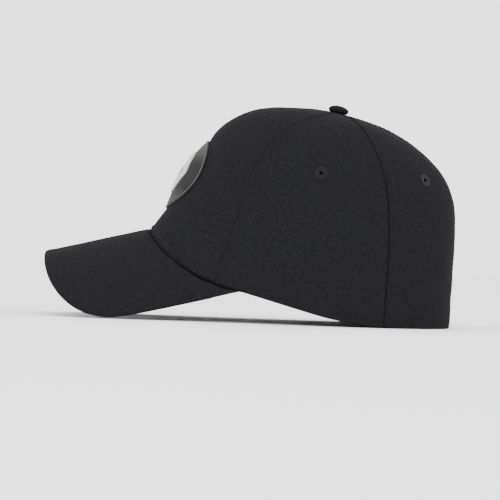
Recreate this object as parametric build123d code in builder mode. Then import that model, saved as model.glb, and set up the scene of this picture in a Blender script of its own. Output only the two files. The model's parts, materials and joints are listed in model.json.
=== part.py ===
"""Bump cap: a five-panel fabric cap over a removable moulded shell with foam pads.

Every piece is drawn in the crown's frame, in millimetres: the origin is the middle of the
crown's top, +Z is the crown's axis, -Y is the wearer's front and +X the wearer's left.
The finished pieces are then tilted back and set down on the surface that the cap rests on.
"""

import math
import os
from dataclasses import dataclass

from build123d import *

# Crown ------------------------------------------------------------------------------------


@dataclass(frozen=True)
class Profile:
    """Outline of the crown in one upright plane through its axis."""

    reach: float  # distance from the axis, before the wall's slope and flare
    slope: float  # how much the wall moves out for each millimetre down
    roundness: float  # higher is a squarer shoulder
    flare: float = 0.0  # extra reach at the peak's seam


FRONT = Profile(reach=73.4, slope=0.284, roundness=5.6, flare=7.7)
BACK = Profile(reach=87.6, slope=0.144, roundness=3.2)
SIDE = Profile(reach=70.6, slope=0.08, roundness=3.8)
DOME_DEPTH = 75.0  # below this the walls are straight
FRONT_SQUARENESS = 0.22  # how far the front's plan is from an ellipse, at the rim
BACK_SQUARENESS = 0.2
SQUARE_DEPTH = 110.0  # depth at which the plan is fully that square
FLARE_POWER = 4.3
FLAT_TOP = 0.15  # depth of the flat under the button
CROWN_BOTTOM = 150.0
REST_TILT = 10.0  # lean of the crown's axis when the cap stands on a table
OUTLINE_POINTS = 36

FRONT_SEAM = 53.0  # seam planes, in degrees round the axis from the front
REAR_SEAM = 124.0
PANEL_THICKNESS = 1.2
TAPE_WIDTH = 11.0
SEAT_GAP = 0.05  # between the panels and what is sewn inside them
TAPE_THICKNESS = 0.6
TAPE_START = 14.0  # distance of its upper end from the axis

# Rim and sweatband ------------------------------------------------------------------------
PEAK_DEPTH = 105.3  # depth at which the peak's crest meets the crown
REST_DEPTH = 145.6  # height of the crown's origin over the table
REST_START = 49.0  # how far behind the origin the rim meets the table
SIDE_RIM_SLOPE = 15.2  # degrees that the rim falls, just behind the peak
SWEATBAND_WIDTH = 32.0
SWEATBAND_THICKNESS = 2.0
SWEATBAND_RISE = 1.5  # its lower edge, above the rim
SWEATBAND_GAP = 17.0  # half of the gap at the back, in degrees

# Peak -------------------------------------------------------------------------------------
PEAK_SLOPE = 24.1  # degrees below square to the crown's axis
PEAK_ARCH_RADIUS = 84.0
PEAK_LENGTH = 74.5
PEAK_HALF_WIDTH = 78.7  # the edge runs out on the crown at its sides
PEAK_CORNER = 5.0  # power of the outline's corners: higher is squarer
PEAK_WIDEST = 10.0  # how far behind the crown's front the peak is widest
PEAK_COVER = 0.9
PEAK_BOARD = 2.0
PEAK_EDGE = 1.6  # cover beyond the board
PEAK_BACK = 66.0  # how far back the peak is drawn before it is trimmed to the crown

# Button and eyelets -----------------------------------------------------------------------
BUTTON_DIAMETER = 14.0
BUTTON_HEIGHT = 5.6
BUTTON_LIP = 1.6  # height of its widest part
BUTTON_UNDERCUT = 1.4
RIVET_DIAMETER = 3.0
RIVET_GRIP = 2.6  # length of the shank inside the button
RIVET_WASHER = 11.0
RIVET_WASHER_THICKNESS = 0.8
EYELET_DIAMETER = 9.6
EYELET_HOLE = 3.0
EYELET_THICKNESS = 1.9
EYELET_PROUD = 0.5
SIDE_EYELET = (86.8, 45.1)  # angle from the front and depth
REAR_EYELET = (146.0, 34.2)

# Badge ------------------------------------------------------------------------------------
BADGE_DEPTH = 63.5
BADGE_WIDTH = 68.0
BADGE_HEIGHT = 55.0
BADGE_THICKNESS = 3.2
EMBLEM_WIDTH = 38.0
EMBLEM_CORNER = 5.0
EMBLEM_SLOT = 15.0
EMBLEM_SLOT_WIDTH = 3.0
EMBLEM_THICKNESS = 1.2

# Insert -----------------------------------------------------------------------------------
SHELL_INSET = 5.0
SHELL_THICKNESS = 1.8
SHELL_RISE = 35.0  # its lower edge, above the rim
PAD_THICKNESS = 4.6
PAD_INSET = SHELL_INSET + SHELL_THICKNESS + PAD_THICKNESS
PAD_RISE = 39.0
VENT_COUNT = 6
VENT_LENGTH = 20.0
VENT_WIDTH = 7.0
VENT_RADIUS = 46.0
PORT_COUNT = 10
PORT_DIAMETER = 9.0
PORT_DEPTH = 56.0
CROWN_PAD_RADIUS = 27.0
PAD_ARM_COUNT = 6
PAD_ARM_LENGTH = 63.0
PAD_ARM_WIDTH = 15.0
BROW_PAD_HALF_ANGLE = 30.0
SIDE_PAD_HALF_ANGLE = 24.0
REAR_PAD_HALF_ANGLE = 30.0
RIM_PAD_HEIGHT = 25.0
FASTENER_DIAMETER = 24.0
FASTENER_RADIUS = 42.0
FASTENER_ANGLE = 93.0  # of the two at the sides, in degrees round from the front
FASTENER_THICKNESS = 1.5
FASTENER_GAP = 0.3  # between hook and loop

# Size strap -------------------------------------------------------------------------------
STRAP_RISE = 5.0  # its lower edge, above the rim
STRAP_WIDTH = 20.0
STRAP_THICKNESS = 0.9
STRAP_TAPE = 0.6  # hook tape and loop tape
STRAP_GAP = 0.3  # between hook and loop
ANCHOR_LENGTH = 19.0
FLAP_END = 36.0
HOOK_START = 17.5
LOOP_END = 46.0
HINGE_GAP = 0.35
LABEL_WIDTH = 26.0
LABEL_HEIGHT = 17.0
LABEL_THICKNESS = 0.3
LABEL_ANGLE = 118.0
LABEL_RISE = 6.0

FAR = 400.0
THROUGH = 60.0  # length of a cutter that passes right through one wall
TOP_CUT = 50.0  # how far down a cutter under the crown's top reaches
OVER = 1.0  # how far outside the material a cutter starts
SEARCH_MARGIN = 20.0  # how far past the crown's bottom a search for a depth goes
JOIN_SEARCH = (-30.0, 90.0)  # distances behind the peak's root that hold the join


def squareness(depth, at_rim):
    """Power of the plan's outline at a depth: 2 is an ellipse."""
    share = min(depth / SQUARE_DEPTH, 1.0)
    return 2 + at_rim * share * share * (3 - 2 * share)


def reach(profile, depth):
    """Distance from the axis to the outer face, in one upright plane."""
    share = max(0.0, 1 - depth / DOME_DEPTH)
    flare = profile.flare * (max(depth, 0.0) / PEAK_DEPTH) ** FLARE_POWER
    return (profile.reach + profile.slope * depth + flare) * math.sqrt(1 - share**profile.roundness)


def inset_reach(profile, depth, inset):
    """The same distance to a face that lies inset mm inside the outer one, square to it."""
    step = 0.001

    def moved(start):
        """Reach and depth of the outer face's point at start, once moved in."""
        rise = (reach(profile, start + step) - reach(profile, start)) / step
        length = math.hypot(1, rise)
        return reach(profile, start) - inset / length, start + inset * rise / length

    low, high = 1e-6, CROWN_BOTTOM + SEARCH_MARGIN
    for _ in range(60):
        middle = (low + high) / 2
        if moved(middle)[1] < depth:
            low = middle
        else:
            high = middle
    return moved(low)[0]


def plan_radius(angle, depth, inset=0.0):
    """Distance from the axis to a face, at an angle round from the front."""
    sine, cosine = math.sin(math.radians(angle)), math.cos(math.radians(angle))
    ahead = cosine > 0
    power = squareness(depth, FRONT_SQUARENESS if ahead else BACK_SQUARENESS)
    across = inset_reach(SIDE, depth, inset)
    along = inset_reach(FRONT if ahead else BACK, depth, inset)
    return (abs(sine / across) ** power + abs(cosine / along) ** power) ** (-1 / power)


def crown_point(angle, depth, inset=0.0):
    """A point of the crown's face."""
    radius = plan_radius(angle, depth, inset)
    turn = math.radians(angle)
    return Vector(radius * math.sin(turn), -radius * math.cos(turn), -depth)


def crown_plane(angle, depth):
    """Plane that touches the crown's outer face, with its z outwards and its y uphill."""
    around = crown_point(angle + 0.5, depth) - crown_point(angle - 0.5, depth)
    uphill = crown_point(angle, depth - 0.5) - crown_point(angle, depth + 0.5)
    return Plane(origin=crown_point(angle, depth), x_dir=around, z_dir=around.cross(uphill))


def dome(inset):
    """Solid dome whose face lies inset mm inside the crown's outer face."""
    top = FLAT_TOP + inset
    shares = (0, 0.012, 0.035, 0.075, 0.13, 0.2, 0.29, 0.39, 0.5, 0.62, 0.74, 0.87, 1)
    with BuildPart() as solid:
        for share in shares:
            depth = top + share * (CROWN_BOTTOM - top)
            with BuildSketch(Plane.XY.offset(-depth)):
                with BuildLine():
                    turns = [360 * n / OUTLINE_POINTS for n in range(OUTLINE_POINTS)]
                    points = [crown_point(turn, depth, inset) for turn in turns]
                    Spline([(p.X, p.Y) for p in points], periodic=True)
                make_face()
        loft()
    return solid.part


def layer(outer, inner):
    """Solid between two faces inset by different amounts."""
    with BuildPart() as solid:
        add(DOMES[outer])
        add(DOMES[inner], mode=Mode.SUBTRACT)
    return solid.part


def to_table(y, z):
    """Distance along the table and height over the crown's origin, of a point of the middle plane."""
    turn = math.radians(REST_TILT)
    return y * math.cos(turn) + z * math.sin(turn), z * math.cos(turn) - y * math.sin(turn)


def from_table(along, height):
    """Undoes to_table."""
    turn = math.radians(REST_TILT)
    return along * math.cos(turn) - height * math.sin(turn), along * math.sin(turn) + height * math.cos(turn)


# The peak's plane: x across, y backwards along the crest, z up out of the peak.
PEAK_PLANE = Plane(
    origin=(0, -reach(FRONT, PEAK_DEPTH), -PEAK_DEPTH),
    x_dir=(1, 0, 0),
    z_dir=(0, -math.sin(math.radians(PEAK_SLOPE)), math.cos(math.radians(PEAK_SLOPE))),
)
ARCH_PLANE = Plane(origin=PEAK_PLANE.origin, x_dir=(1, 0, 0), z_dir=-PEAK_PLANE.y_dir)
PEAK_THICKNESS = 2 * PEAK_COVER + PEAK_BOARD


def join_point(share):
    """y, z where the peak meets the crown: its underside in front, its top face at its end."""
    turn = math.asin(share * PEAK_HALF_WIDTH / PEAK_ARCH_RADIUS)
    radius = PEAK_ARCH_RADIUS - PEAK_THICKNESS * (1 - share**4)
    x, height = radius * math.sin(turn), radius * math.cos(turn) - PEAK_ARCH_RADIUS
    low, high = JOIN_SEARCH
    for _ in range(50):
        middle = (low + high) / 2
        point = PEAK_PLANE.from_local_coords(Vector(x, middle, height))
        round_from_front = math.degrees(math.atan2(point.X, -point.Y))
        if math.hypot(point.X, point.Y) > plan_radius(round_from_front, -point.Z):
            low = middle
        else:
            high = middle
    return point.Y, point.Z


def above_rim(rise):
    """Everything above the rim once it is raised by rise."""
    join = [join_point(share) for share in (0, 0.3, 0.5, 0.66, 0.79, 0.88, 0.94, 1)]
    start = to_table(*join[-1])
    slope = math.tan(math.radians(SIDE_RIM_SLOPE))
    half_slope = math.tan(math.radians(SIDE_RIM_SLOPE / 2))
    fall = start[1] + REST_DEPTH
    straight = (fall - half_slope * (REST_START - start[0])) / (slope - half_slope)
    bend = from_table(start[0] + straight, start[1] - slope * straight)
    flat = from_table(REST_START, -REST_DEPTH)
    lift = Vector(0, rise)
    join = [Vector(*point) + lift for point in join]
    bend, flat = Vector(*bend) + lift, Vector(*flat) + lift
    rear = Vector(*from_table(FAR, -REST_DEPTH)) + lift
    with BuildPart() as region:
        with BuildSketch(Plane.YZ):
            with BuildLine():
                Spline(join)
                Line(join[-1], bend)
                TangentArc(bend, flat, tangent=bend - join[-1])
                Polyline(flat, rear, (rear.X, FAR), (-FAR, FAR), (-FAR, join[0].Y), join[0])
            make_face()
        extrude(amount=FAR / 2, both=True)
    return region.part


def band(low, high):
    """Everything between the rim raised by low and the rim raised by high."""
    return above_rim(low) - above_rim(high)


def sector(start, end):
    """Upright wedge round the crown's axis, between two angles from the front."""
    with BuildPart() as wedge:
        with BuildSketch():
            with BuildLine():
                turns = [math.radians(start + (end - start) * share) for share in (0, 0.5, 1)]
                rays = [(FAR * math.sin(turn), -FAR * math.cos(turn)) for turn in turns]
                Polyline((0, 0), *rays, close=True)
            make_face()
        extrude(amount=FAR, both=True)
    return wedge.part


def cut_to(*shapes):
    """What several shapes have in common."""
    with BuildPart() as common:
        add(shapes[0])
        for shape in shapes[1:]:
            add(shape, mode=Mode.INTERSECT)
    return common.part


def mirrored(shape):
    """The same piece on the wearer's right."""
    with BuildPart() as other:
        add(shape)
        mirror(about=Plane.YZ, mode=Mode.REPLACE)
    return other.part


# Crown ------------------------------------------------------------------------------------


def panel(shell, start, end, eyelets=()):
    """One fabric panel, with its eyelet holes and its share of the rivet's hole."""
    with BuildPart() as cloth:
        add(shell)
        add(sector(start, end), mode=Mode.INTERSECT)
        with Locations((0, 0)):
            Cylinder(RIVET_DIAMETER / 2, THROUGH, mode=Mode.SUBTRACT)
        for angle, depth in eyelets:
            with Locations(crown_plane(angle, depth)):
                Cylinder(EYELET_DIAMETER / 2, THROUGH, mode=Mode.SUBTRACT)
    return cloth.part


def seam_tape(cover, angle):
    """Tape over a seam's raw edges, inside the crown."""
    with BuildPart() as tape:
        add(cover)
        with BuildSketch():
            with Locations(Rotation(0, 0, angle - 90)):
                with Locations((TAPE_START + FAR / 2, 0)):
                    Rectangle(FAR, TAPE_WIDTH)
        extrude(amount=FAR / 2, both=True, mode=Mode.INTERSECT)
    return tape.part


def eyelet(angle, depth):
    """Ring of embroidery round a vent hole."""
    with BuildPart() as ring:
        with BuildSketch(crown_plane(angle, depth).offset(EYELET_PROUD - EYELET_THICKNESS)):
            Circle(EYELET_DIAMETER / 2)
            Circle(EYELET_HOLE / 2, mode=Mode.SUBTRACT)
        extrude(amount=EYELET_THICKNESS)
    return ring.part


def top_button():
    """Covered button at the crown's top, with the blind hole that its rivet is pressed into."""
    edge = BUTTON_DIAMETER / 2
    foot = edge - BUTTON_UNDERCUT
    rise = BUTTON_HEIGHT - BUTTON_LIP
    radius = (edge**2 + rise**2) / (2 * rise)
    turn = math.asin(edge / radius) / 2
    middle = (radius * math.sin(turn), BUTTON_HEIGHT - radius + radius * math.cos(turn))
    with BuildPart() as button:
        with BuildSketch(Plane.XZ):
            with BuildLine():
                Polyline((0, -FLAT_TOP), (foot, -FLAT_TOP), (edge, BUTTON_LIP))
                ThreePointArc((edge, BUTTON_LIP), middle, (0, BUTTON_HEIGHT))
                Line((0, BUTTON_HEIGHT), (0, -FLAT_TOP))
            make_face()
        revolve(axis=Axis.Z)
        with BuildSketch(Plane.XY.offset(-FLAT_TOP)):
            Circle(RIVET_DIAMETER / 2)
        extrude(amount=RIVET_GRIP, mode=Mode.SUBTRACT)
    return button.part


def button_rivet():
    """Rivet that holds the button, with its washer inside the crown."""
    seat = -FLAT_TOP - PANEL_THICKNESS
    with BuildPart() as rivet:
        with BuildSketch(Plane.XY.offset(seat)):
            Circle(RIVET_DIAMETER / 2)
        extrude(amount=PANEL_THICKNESS + RIVET_GRIP)
        with BuildSketch(Plane.XY.offset(seat)):
            Circle(RIVET_WASHER / 2)
        extrude(amount=-RIVET_WASHER_THICKNESS)
    return rivet.part


def badge(outer, inner):
    """Oval moulded badge that follows the front panel."""
    with BuildPart() as oval:
        add(layer(outer, inner))
        with BuildSketch(crown_plane(0, BADGE_DEPTH)):
            Ellipse(BADGE_WIDTH / 2, BADGE_HEIGHT / 2)
        extrude(amount=THROUGH / 2, both=True, mode=Mode.INTERSECT)
    return oval.part


def badge_emblem(outer, inner):
    """Plain six-sided plate with a slot, on the badge."""
    with BuildPart() as plate:
        add(layer(outer, inner))
        with BuildSketch(crown_plane(0, BADGE_DEPTH)):
            RegularPolygon(EMBLEM_WIDTH / 2, 6)
            fillet(vertices(), EMBLEM_CORNER)
            SlotOverall(EMBLEM_SLOT, EMBLEM_SLOT_WIDTH, mode=Mode.SUBTRACT)
        extrude(amount=THROUGH / 2, both=True, mode=Mode.INTERSECT)
    return plate.part


# Peak -------------------------------------------------------------------------------------


def peak_outline(half, length):
    """Plan of the peak along its crest: a squarish front on straight sides."""
    with BuildSketch(PEAK_PLANE.offset(OVER)) as outline:
        with BuildLine():
            points = []
            for step in range(OUTLINE_POINTS + 1):
                turn = math.pi * step / OUTLINE_POINTS
                across, ahead = math.cos(turn) / half, math.sin(turn) / length
                size = (abs(across) ** PEAK_CORNER + ahead**PEAK_CORNER) ** (-1 / PEAK_CORNER)
                points.append((size * math.cos(turn), PEAK_WIDEST - size * math.sin(turn)))
            Spline(points, tangents=((0, -1), (0, 1)))
            Polyline((-half, PEAK_WIDEST), (-half, PEAK_BACK), (half, PEAK_BACK), (half, PEAK_WIDEST))
        make_face()
    return outline.sketch


def peak_layer(top, bottom, margin=0.0):
    """Layer of the peak between two depths below its top face, cut square to it, up to the crown."""
    radius = PEAK_ARCH_RADIUS - top
    half = (PEAK_HALF_WIDTH - margin) * radius / PEAK_ARCH_RADIUS
    with BuildPart() as block:
        with BuildSketch(ARCH_PLANE.offset(-PEAK_BACK - OVER)):
            with Locations((0, -PEAK_ARCH_RADIUS)):
                Circle(radius)
        extrude(amount=PEAK_BACK + PEAK_LENGTH + 2 * OVER)
        extrude(
            peak_outline(half, PEAK_LENGTH + PEAK_WIDEST - margin),
            amount=-PEAK_ARCH_RADIUS,
            mode=Mode.INTERSECT,
        )
    face = block.faces().filter_by(GeomType.CYLINDER).sort_by(SortBy.AREA)[-1]
    with BuildPart() as curved:
        thicken(face, amount=top - bottom)
        add(DOMES[0], mode=Mode.SUBTRACT)
    return curved.part


# Sweatband, size strap and label ----------------------------------------------------------


def ring(outer, inner, low, high):
    """Ring inside the rim, between two faces and two heights above the rim."""
    return cut_to(layer(outer, inner), band(low, high))


def arc_piece(outer, inner, low, high, start, end):
    """Curved piece of such a ring, between two angles from the front."""
    return cut_to(layer(outer, inner), band(low, high), sector(start, end))


# Insert -----------------------------------------------------------------------------------


def abs_shell():
    """Moulded shell with its vents."""
    with BuildPart() as shell:
        add(layer(SHELL_INSET, SHELL_INSET + SHELL_THICKNESS))
        add(above_rim(SHELL_RISE), mode=Mode.INTERSECT)
        with BuildSketch():
            with PolarLocations(VENT_RADIUS, VENT_COUNT):
                SlotOverall(VENT_LENGTH, VENT_WIDTH)
        extrude(amount=-TOP_CUT, mode=Mode.SUBTRACT)
        for number in range(PORT_COUNT):
            angle = 360 * (number + 0.5) / PORT_COUNT
            with Locations(crown_plane(angle, PORT_DEPTH)):
                Cylinder(PORT_DIAMETER / 2, THROUGH, mode=Mode.SUBTRACT)
    return shell.part


def crown_pad():
    """Star-shaped foam pad under the shell's top."""
    with BuildPart() as pad:
        add(layer(SHELL_INSET + SHELL_THICKNESS, PAD_INSET))
        with BuildSketch():
            Circle(CROWN_PAD_RADIUS)
            with PolarLocations(PAD_ARM_LENGTH / 2, PAD_ARM_COUNT, 180 / PAD_ARM_COUNT):
                SlotOverall(PAD_ARM_LENGTH, PAD_ARM_WIDTH)
        extrude(amount=-TOP_CUT, mode=Mode.INTERSECT)
    return pad.part


def rim_pad(middle, half_angle):
    """Curved foam pad inside the shell's lower edge."""
    start, end = middle - half_angle, middle + half_angle
    outer = SHELL_INSET + SHELL_THICKNESS
    return arc_piece(outer, PAD_INSET, PAD_RISE, PAD_RISE + RIM_PAD_HEIGHT, start, end)


def fastener_disc(outer, inner, angle):
    """Disc of hook or loop tape near the crown's top."""
    with BuildPart() as disc:
        add(layer(outer, inner))
        with BuildSketch():
            with Locations(Rotation(0, 0, angle - 90)):
                with Locations((FASTENER_RADIUS, 0)):
                    Circle(FASTENER_DIAMETER / 2)
        extrude(amount=-TOP_CUT, mode=Mode.INTERSECT)
    return disc.part


# Assembly ---------------------------------------------------------------------------------
INSIDE = PANEL_THICKNESS + SEAT_GAP
STRAP_LOOP_FACE = INSIDE + SWEATBAND_THICKNESS
STRAP_HOOK_FACE = STRAP_LOOP_FACE + STRAP_TAPE + STRAP_GAP
STRAP_FACE = STRAP_HOOK_FACE + STRAP_TAPE
LOOP_DISC_INSET = INSIDE + FASTENER_THICKNESS
HOOK_DISC_INSET = LOOP_DISC_INSET + FASTENER_GAP

DOMES = {}
for inset in (
    -BADGE_THICKNESS - EMBLEM_THICKNESS,
    -BADGE_THICKNESS,
    0,
    PANEL_THICKNESS,
    INSIDE,
    INSIDE + TAPE_THICKNESS,
    LOOP_DISC_INSET,
    HOOK_DISC_INSET,
    STRAP_LOOP_FACE,
    STRAP_LOOP_FACE + LABEL_THICKNESS,
    STRAP_LOOP_FACE + STRAP_TAPE,
    STRAP_HOOK_FACE,
    STRAP_FACE,
    STRAP_FACE + STRAP_THICKNESS,
    SHELL_INSET,
    SHELL_INSET + SHELL_THICKNESS,
    PAD_INSET,
):
    DOMES[inset] = dome(inset)

pieces = {}

cloth = cut_to(layer(0, PANEL_THICKNESS), above_rim(0))
pieces["front_panel"] = panel(cloth, -FRONT_SEAM, FRONT_SEAM)
pieces["left_side_panel"] = panel(cloth, FRONT_SEAM, REAR_SEAM, [SIDE_EYELET])
pieces["right_side_panel"] = mirrored(pieces["left_side_panel"])
pieces["left_rear_panel"] = panel(cloth, REAR_SEAM, 180, [REAR_EYELET])
pieces["right_rear_panel"] = mirrored(pieces["left_rear_panel"])

cover = cut_to(layer(INSIDE, INSIDE + TAPE_THICKNESS), above_rim(SWEATBAND_WIDTH))
pieces["left_front_seam_tape"] = seam_tape(cover, FRONT_SEAM)
pieces["right_front_seam_tape"] = mirrored(pieces["left_front_seam_tape"])
pieces["left_rear_seam_tape"] = seam_tape(cover, REAR_SEAM)
pieces["right_rear_seam_tape"] = mirrored(pieces["left_rear_seam_tape"])
pieces["centre_back_seam_tape"] = seam_tape(cover, 180)

pieces["top_button"] = top_button()
pieces["button_rivet"] = button_rivet()
pieces["left_side_eyelet"] = eyelet(*SIDE_EYELET)
pieces["right_side_eyelet"] = mirrored(pieces["left_side_eyelet"])
pieces["left_rear_eyelet"] = eyelet(*REAR_EYELET)
pieces["right_rear_eyelet"] = mirrored(pieces["left_rear_eyelet"])
pieces["front_badge"] = badge(-BADGE_THICKNESS, 0)
pieces["badge_emblem"] = badge_emblem(-BADGE_THICKNESS - EMBLEM_THICKNESS, -BADGE_THICKNESS)

pieces["peak_top_cover"] = peak_layer(0, PEAK_COVER)
pieces["peak_board"] = peak_layer(PEAK_COVER, PEAK_COVER + PEAK_BOARD, PEAK_EDGE)
pieces["peak_under_cover"] = peak_layer(PEAK_COVER + PEAK_BOARD, PEAK_THICKNESS)

sweatband = ring(INSIDE, STRAP_LOOP_FACE, SWEATBAND_RISE, SWEATBAND_WIDTH)
pieces["sweatband"] = sweatband - sector(180 - SWEATBAND_GAP, 180 + SWEATBAND_GAP)
strap_top = STRAP_RISE + STRAP_WIDTH
anchor_start = 180 - SWEATBAND_GAP - ANCHOR_LENGTH
hinge = 180 - SWEATBAND_GAP
gap_angle = math.degrees(HINGE_GAP / plan_radius(hinge, REST_DEPTH))
strap_inside = STRAP_FACE + STRAP_THICKNESS
pieces["strap_anchor"] = arc_piece(
    STRAP_LOOP_FACE, strap_inside, STRAP_RISE, strap_top, anchor_start, hinge
)
pieces["strap_loop_tape"] = arc_piece(
    STRAP_LOOP_FACE, STRAP_LOOP_FACE + STRAP_TAPE, STRAP_RISE, strap_top, 180 + HOOK_START, 180 + LOOP_END
)
pieces["strap_flap"] = arc_piece(
    STRAP_FACE, strap_inside, STRAP_RISE, strap_top, hinge + gap_angle, 180 + FLAP_END
)
pieces["strap_hook_tape"] = arc_piece(
    STRAP_HOOK_FACE, STRAP_FACE, STRAP_RISE, strap_top, 180 + HOOK_START, 180 + FLAP_END
)
label_half = math.degrees(LABEL_WIDTH / 2 / plan_radius(LABEL_ANGLE, REST_DEPTH))
pieces["care_label"] = arc_piece(
    STRAP_LOOP_FACE,
    STRAP_LOOP_FACE + LABEL_THICKNESS,
    LABEL_RISE,
    LABEL_RISE + LABEL_HEIGHT,
    LABEL_ANGLE - label_half,
    LABEL_ANGLE + label_half,
)

pieces["abs_shell"] = abs_shell()
pieces["crown_pad"] = crown_pad()
pieces["brow_pad"] = rim_pad(0, BROW_PAD_HALF_ANGLE)
pieces["left_side_pad"] = rim_pad(90, SIDE_PAD_HALF_ANGLE)
pieces["right_side_pad"] = mirrored(pieces["left_side_pad"])
pieces["rear_pad"] = rim_pad(180, REAR_PAD_HALF_ANGLE)
for name, angle in (("front", 0), ("left", FASTENER_ANGLE), ("right", -FASTENER_ANGLE)):
    pieces[f"{name}_crown_loop_disc"] = fastener_disc(INSIDE, LOOP_DISC_INSET, angle)
    pieces[f"{name}_shell_hook_disc"] = fastener_disc(HOOK_DISC_INSET, SHELL_INSET, angle)

# Set the cap down on its resting surface, centred on the origin.
tilted = {name: Rot(X=-REST_TILT) * piece for name, piece in pieces.items()}
boxes = [piece.bounding_box() for piece in tilted.values()]
ahead = min(box.min.Y for box in boxes)
behind = max(box.max.Y for box in boxes)
PLACE = Pos(0, -(ahead + behind) / 2, -min(box.min.Z for box in boxes))
print("crown origin", PLACE.position)

os.makedirs("parts", exist_ok=True)
for name, piece in tilted.items():
    placed = PLACE * piece
    placed.label = name
    export_step(placed, f"parts/{name}.step")
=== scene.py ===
"""Bump cap: cloth crown and peak, badge, inner shell, pads and size strap, over the CAD frame."""

import json
import logging
import math
from collections.abc import Callable, Sequence
from dataclasses import dataclass, field
from enum import Enum

import bmesh
import bpy
import numpy as np
from mathutils import Matrix, Vector
from mathutils.bvhtree import BVHTree


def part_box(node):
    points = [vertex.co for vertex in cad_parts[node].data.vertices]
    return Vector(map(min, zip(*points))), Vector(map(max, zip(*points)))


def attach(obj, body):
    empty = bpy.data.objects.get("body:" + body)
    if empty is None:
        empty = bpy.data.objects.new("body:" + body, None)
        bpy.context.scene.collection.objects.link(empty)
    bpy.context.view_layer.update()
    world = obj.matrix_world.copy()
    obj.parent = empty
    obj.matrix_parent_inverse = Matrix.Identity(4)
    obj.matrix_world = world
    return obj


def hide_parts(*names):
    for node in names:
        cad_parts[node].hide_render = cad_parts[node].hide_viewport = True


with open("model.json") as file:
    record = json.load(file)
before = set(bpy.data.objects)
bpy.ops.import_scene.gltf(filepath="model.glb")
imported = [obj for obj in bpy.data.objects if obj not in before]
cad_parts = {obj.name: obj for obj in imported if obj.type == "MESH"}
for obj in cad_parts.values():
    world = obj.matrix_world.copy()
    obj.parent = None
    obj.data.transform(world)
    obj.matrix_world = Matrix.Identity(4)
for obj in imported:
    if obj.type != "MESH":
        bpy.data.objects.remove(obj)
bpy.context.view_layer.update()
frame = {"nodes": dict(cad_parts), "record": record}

LOG = logging.getLogger("bump_cap")
MM = 0.001
SEED = 11
Array = np.ndarray


# --------------------------------------------------------------------------------------
# Shape of the crown
# --------------------------------------------------------------------------------------


@dataclass(frozen=True)
class Profile:
    """Outline of the crown in one upright plane through its axis, in millimetres."""

    reach: float
    slope: float
    roundness: float
    flare: float = 0.0


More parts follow.
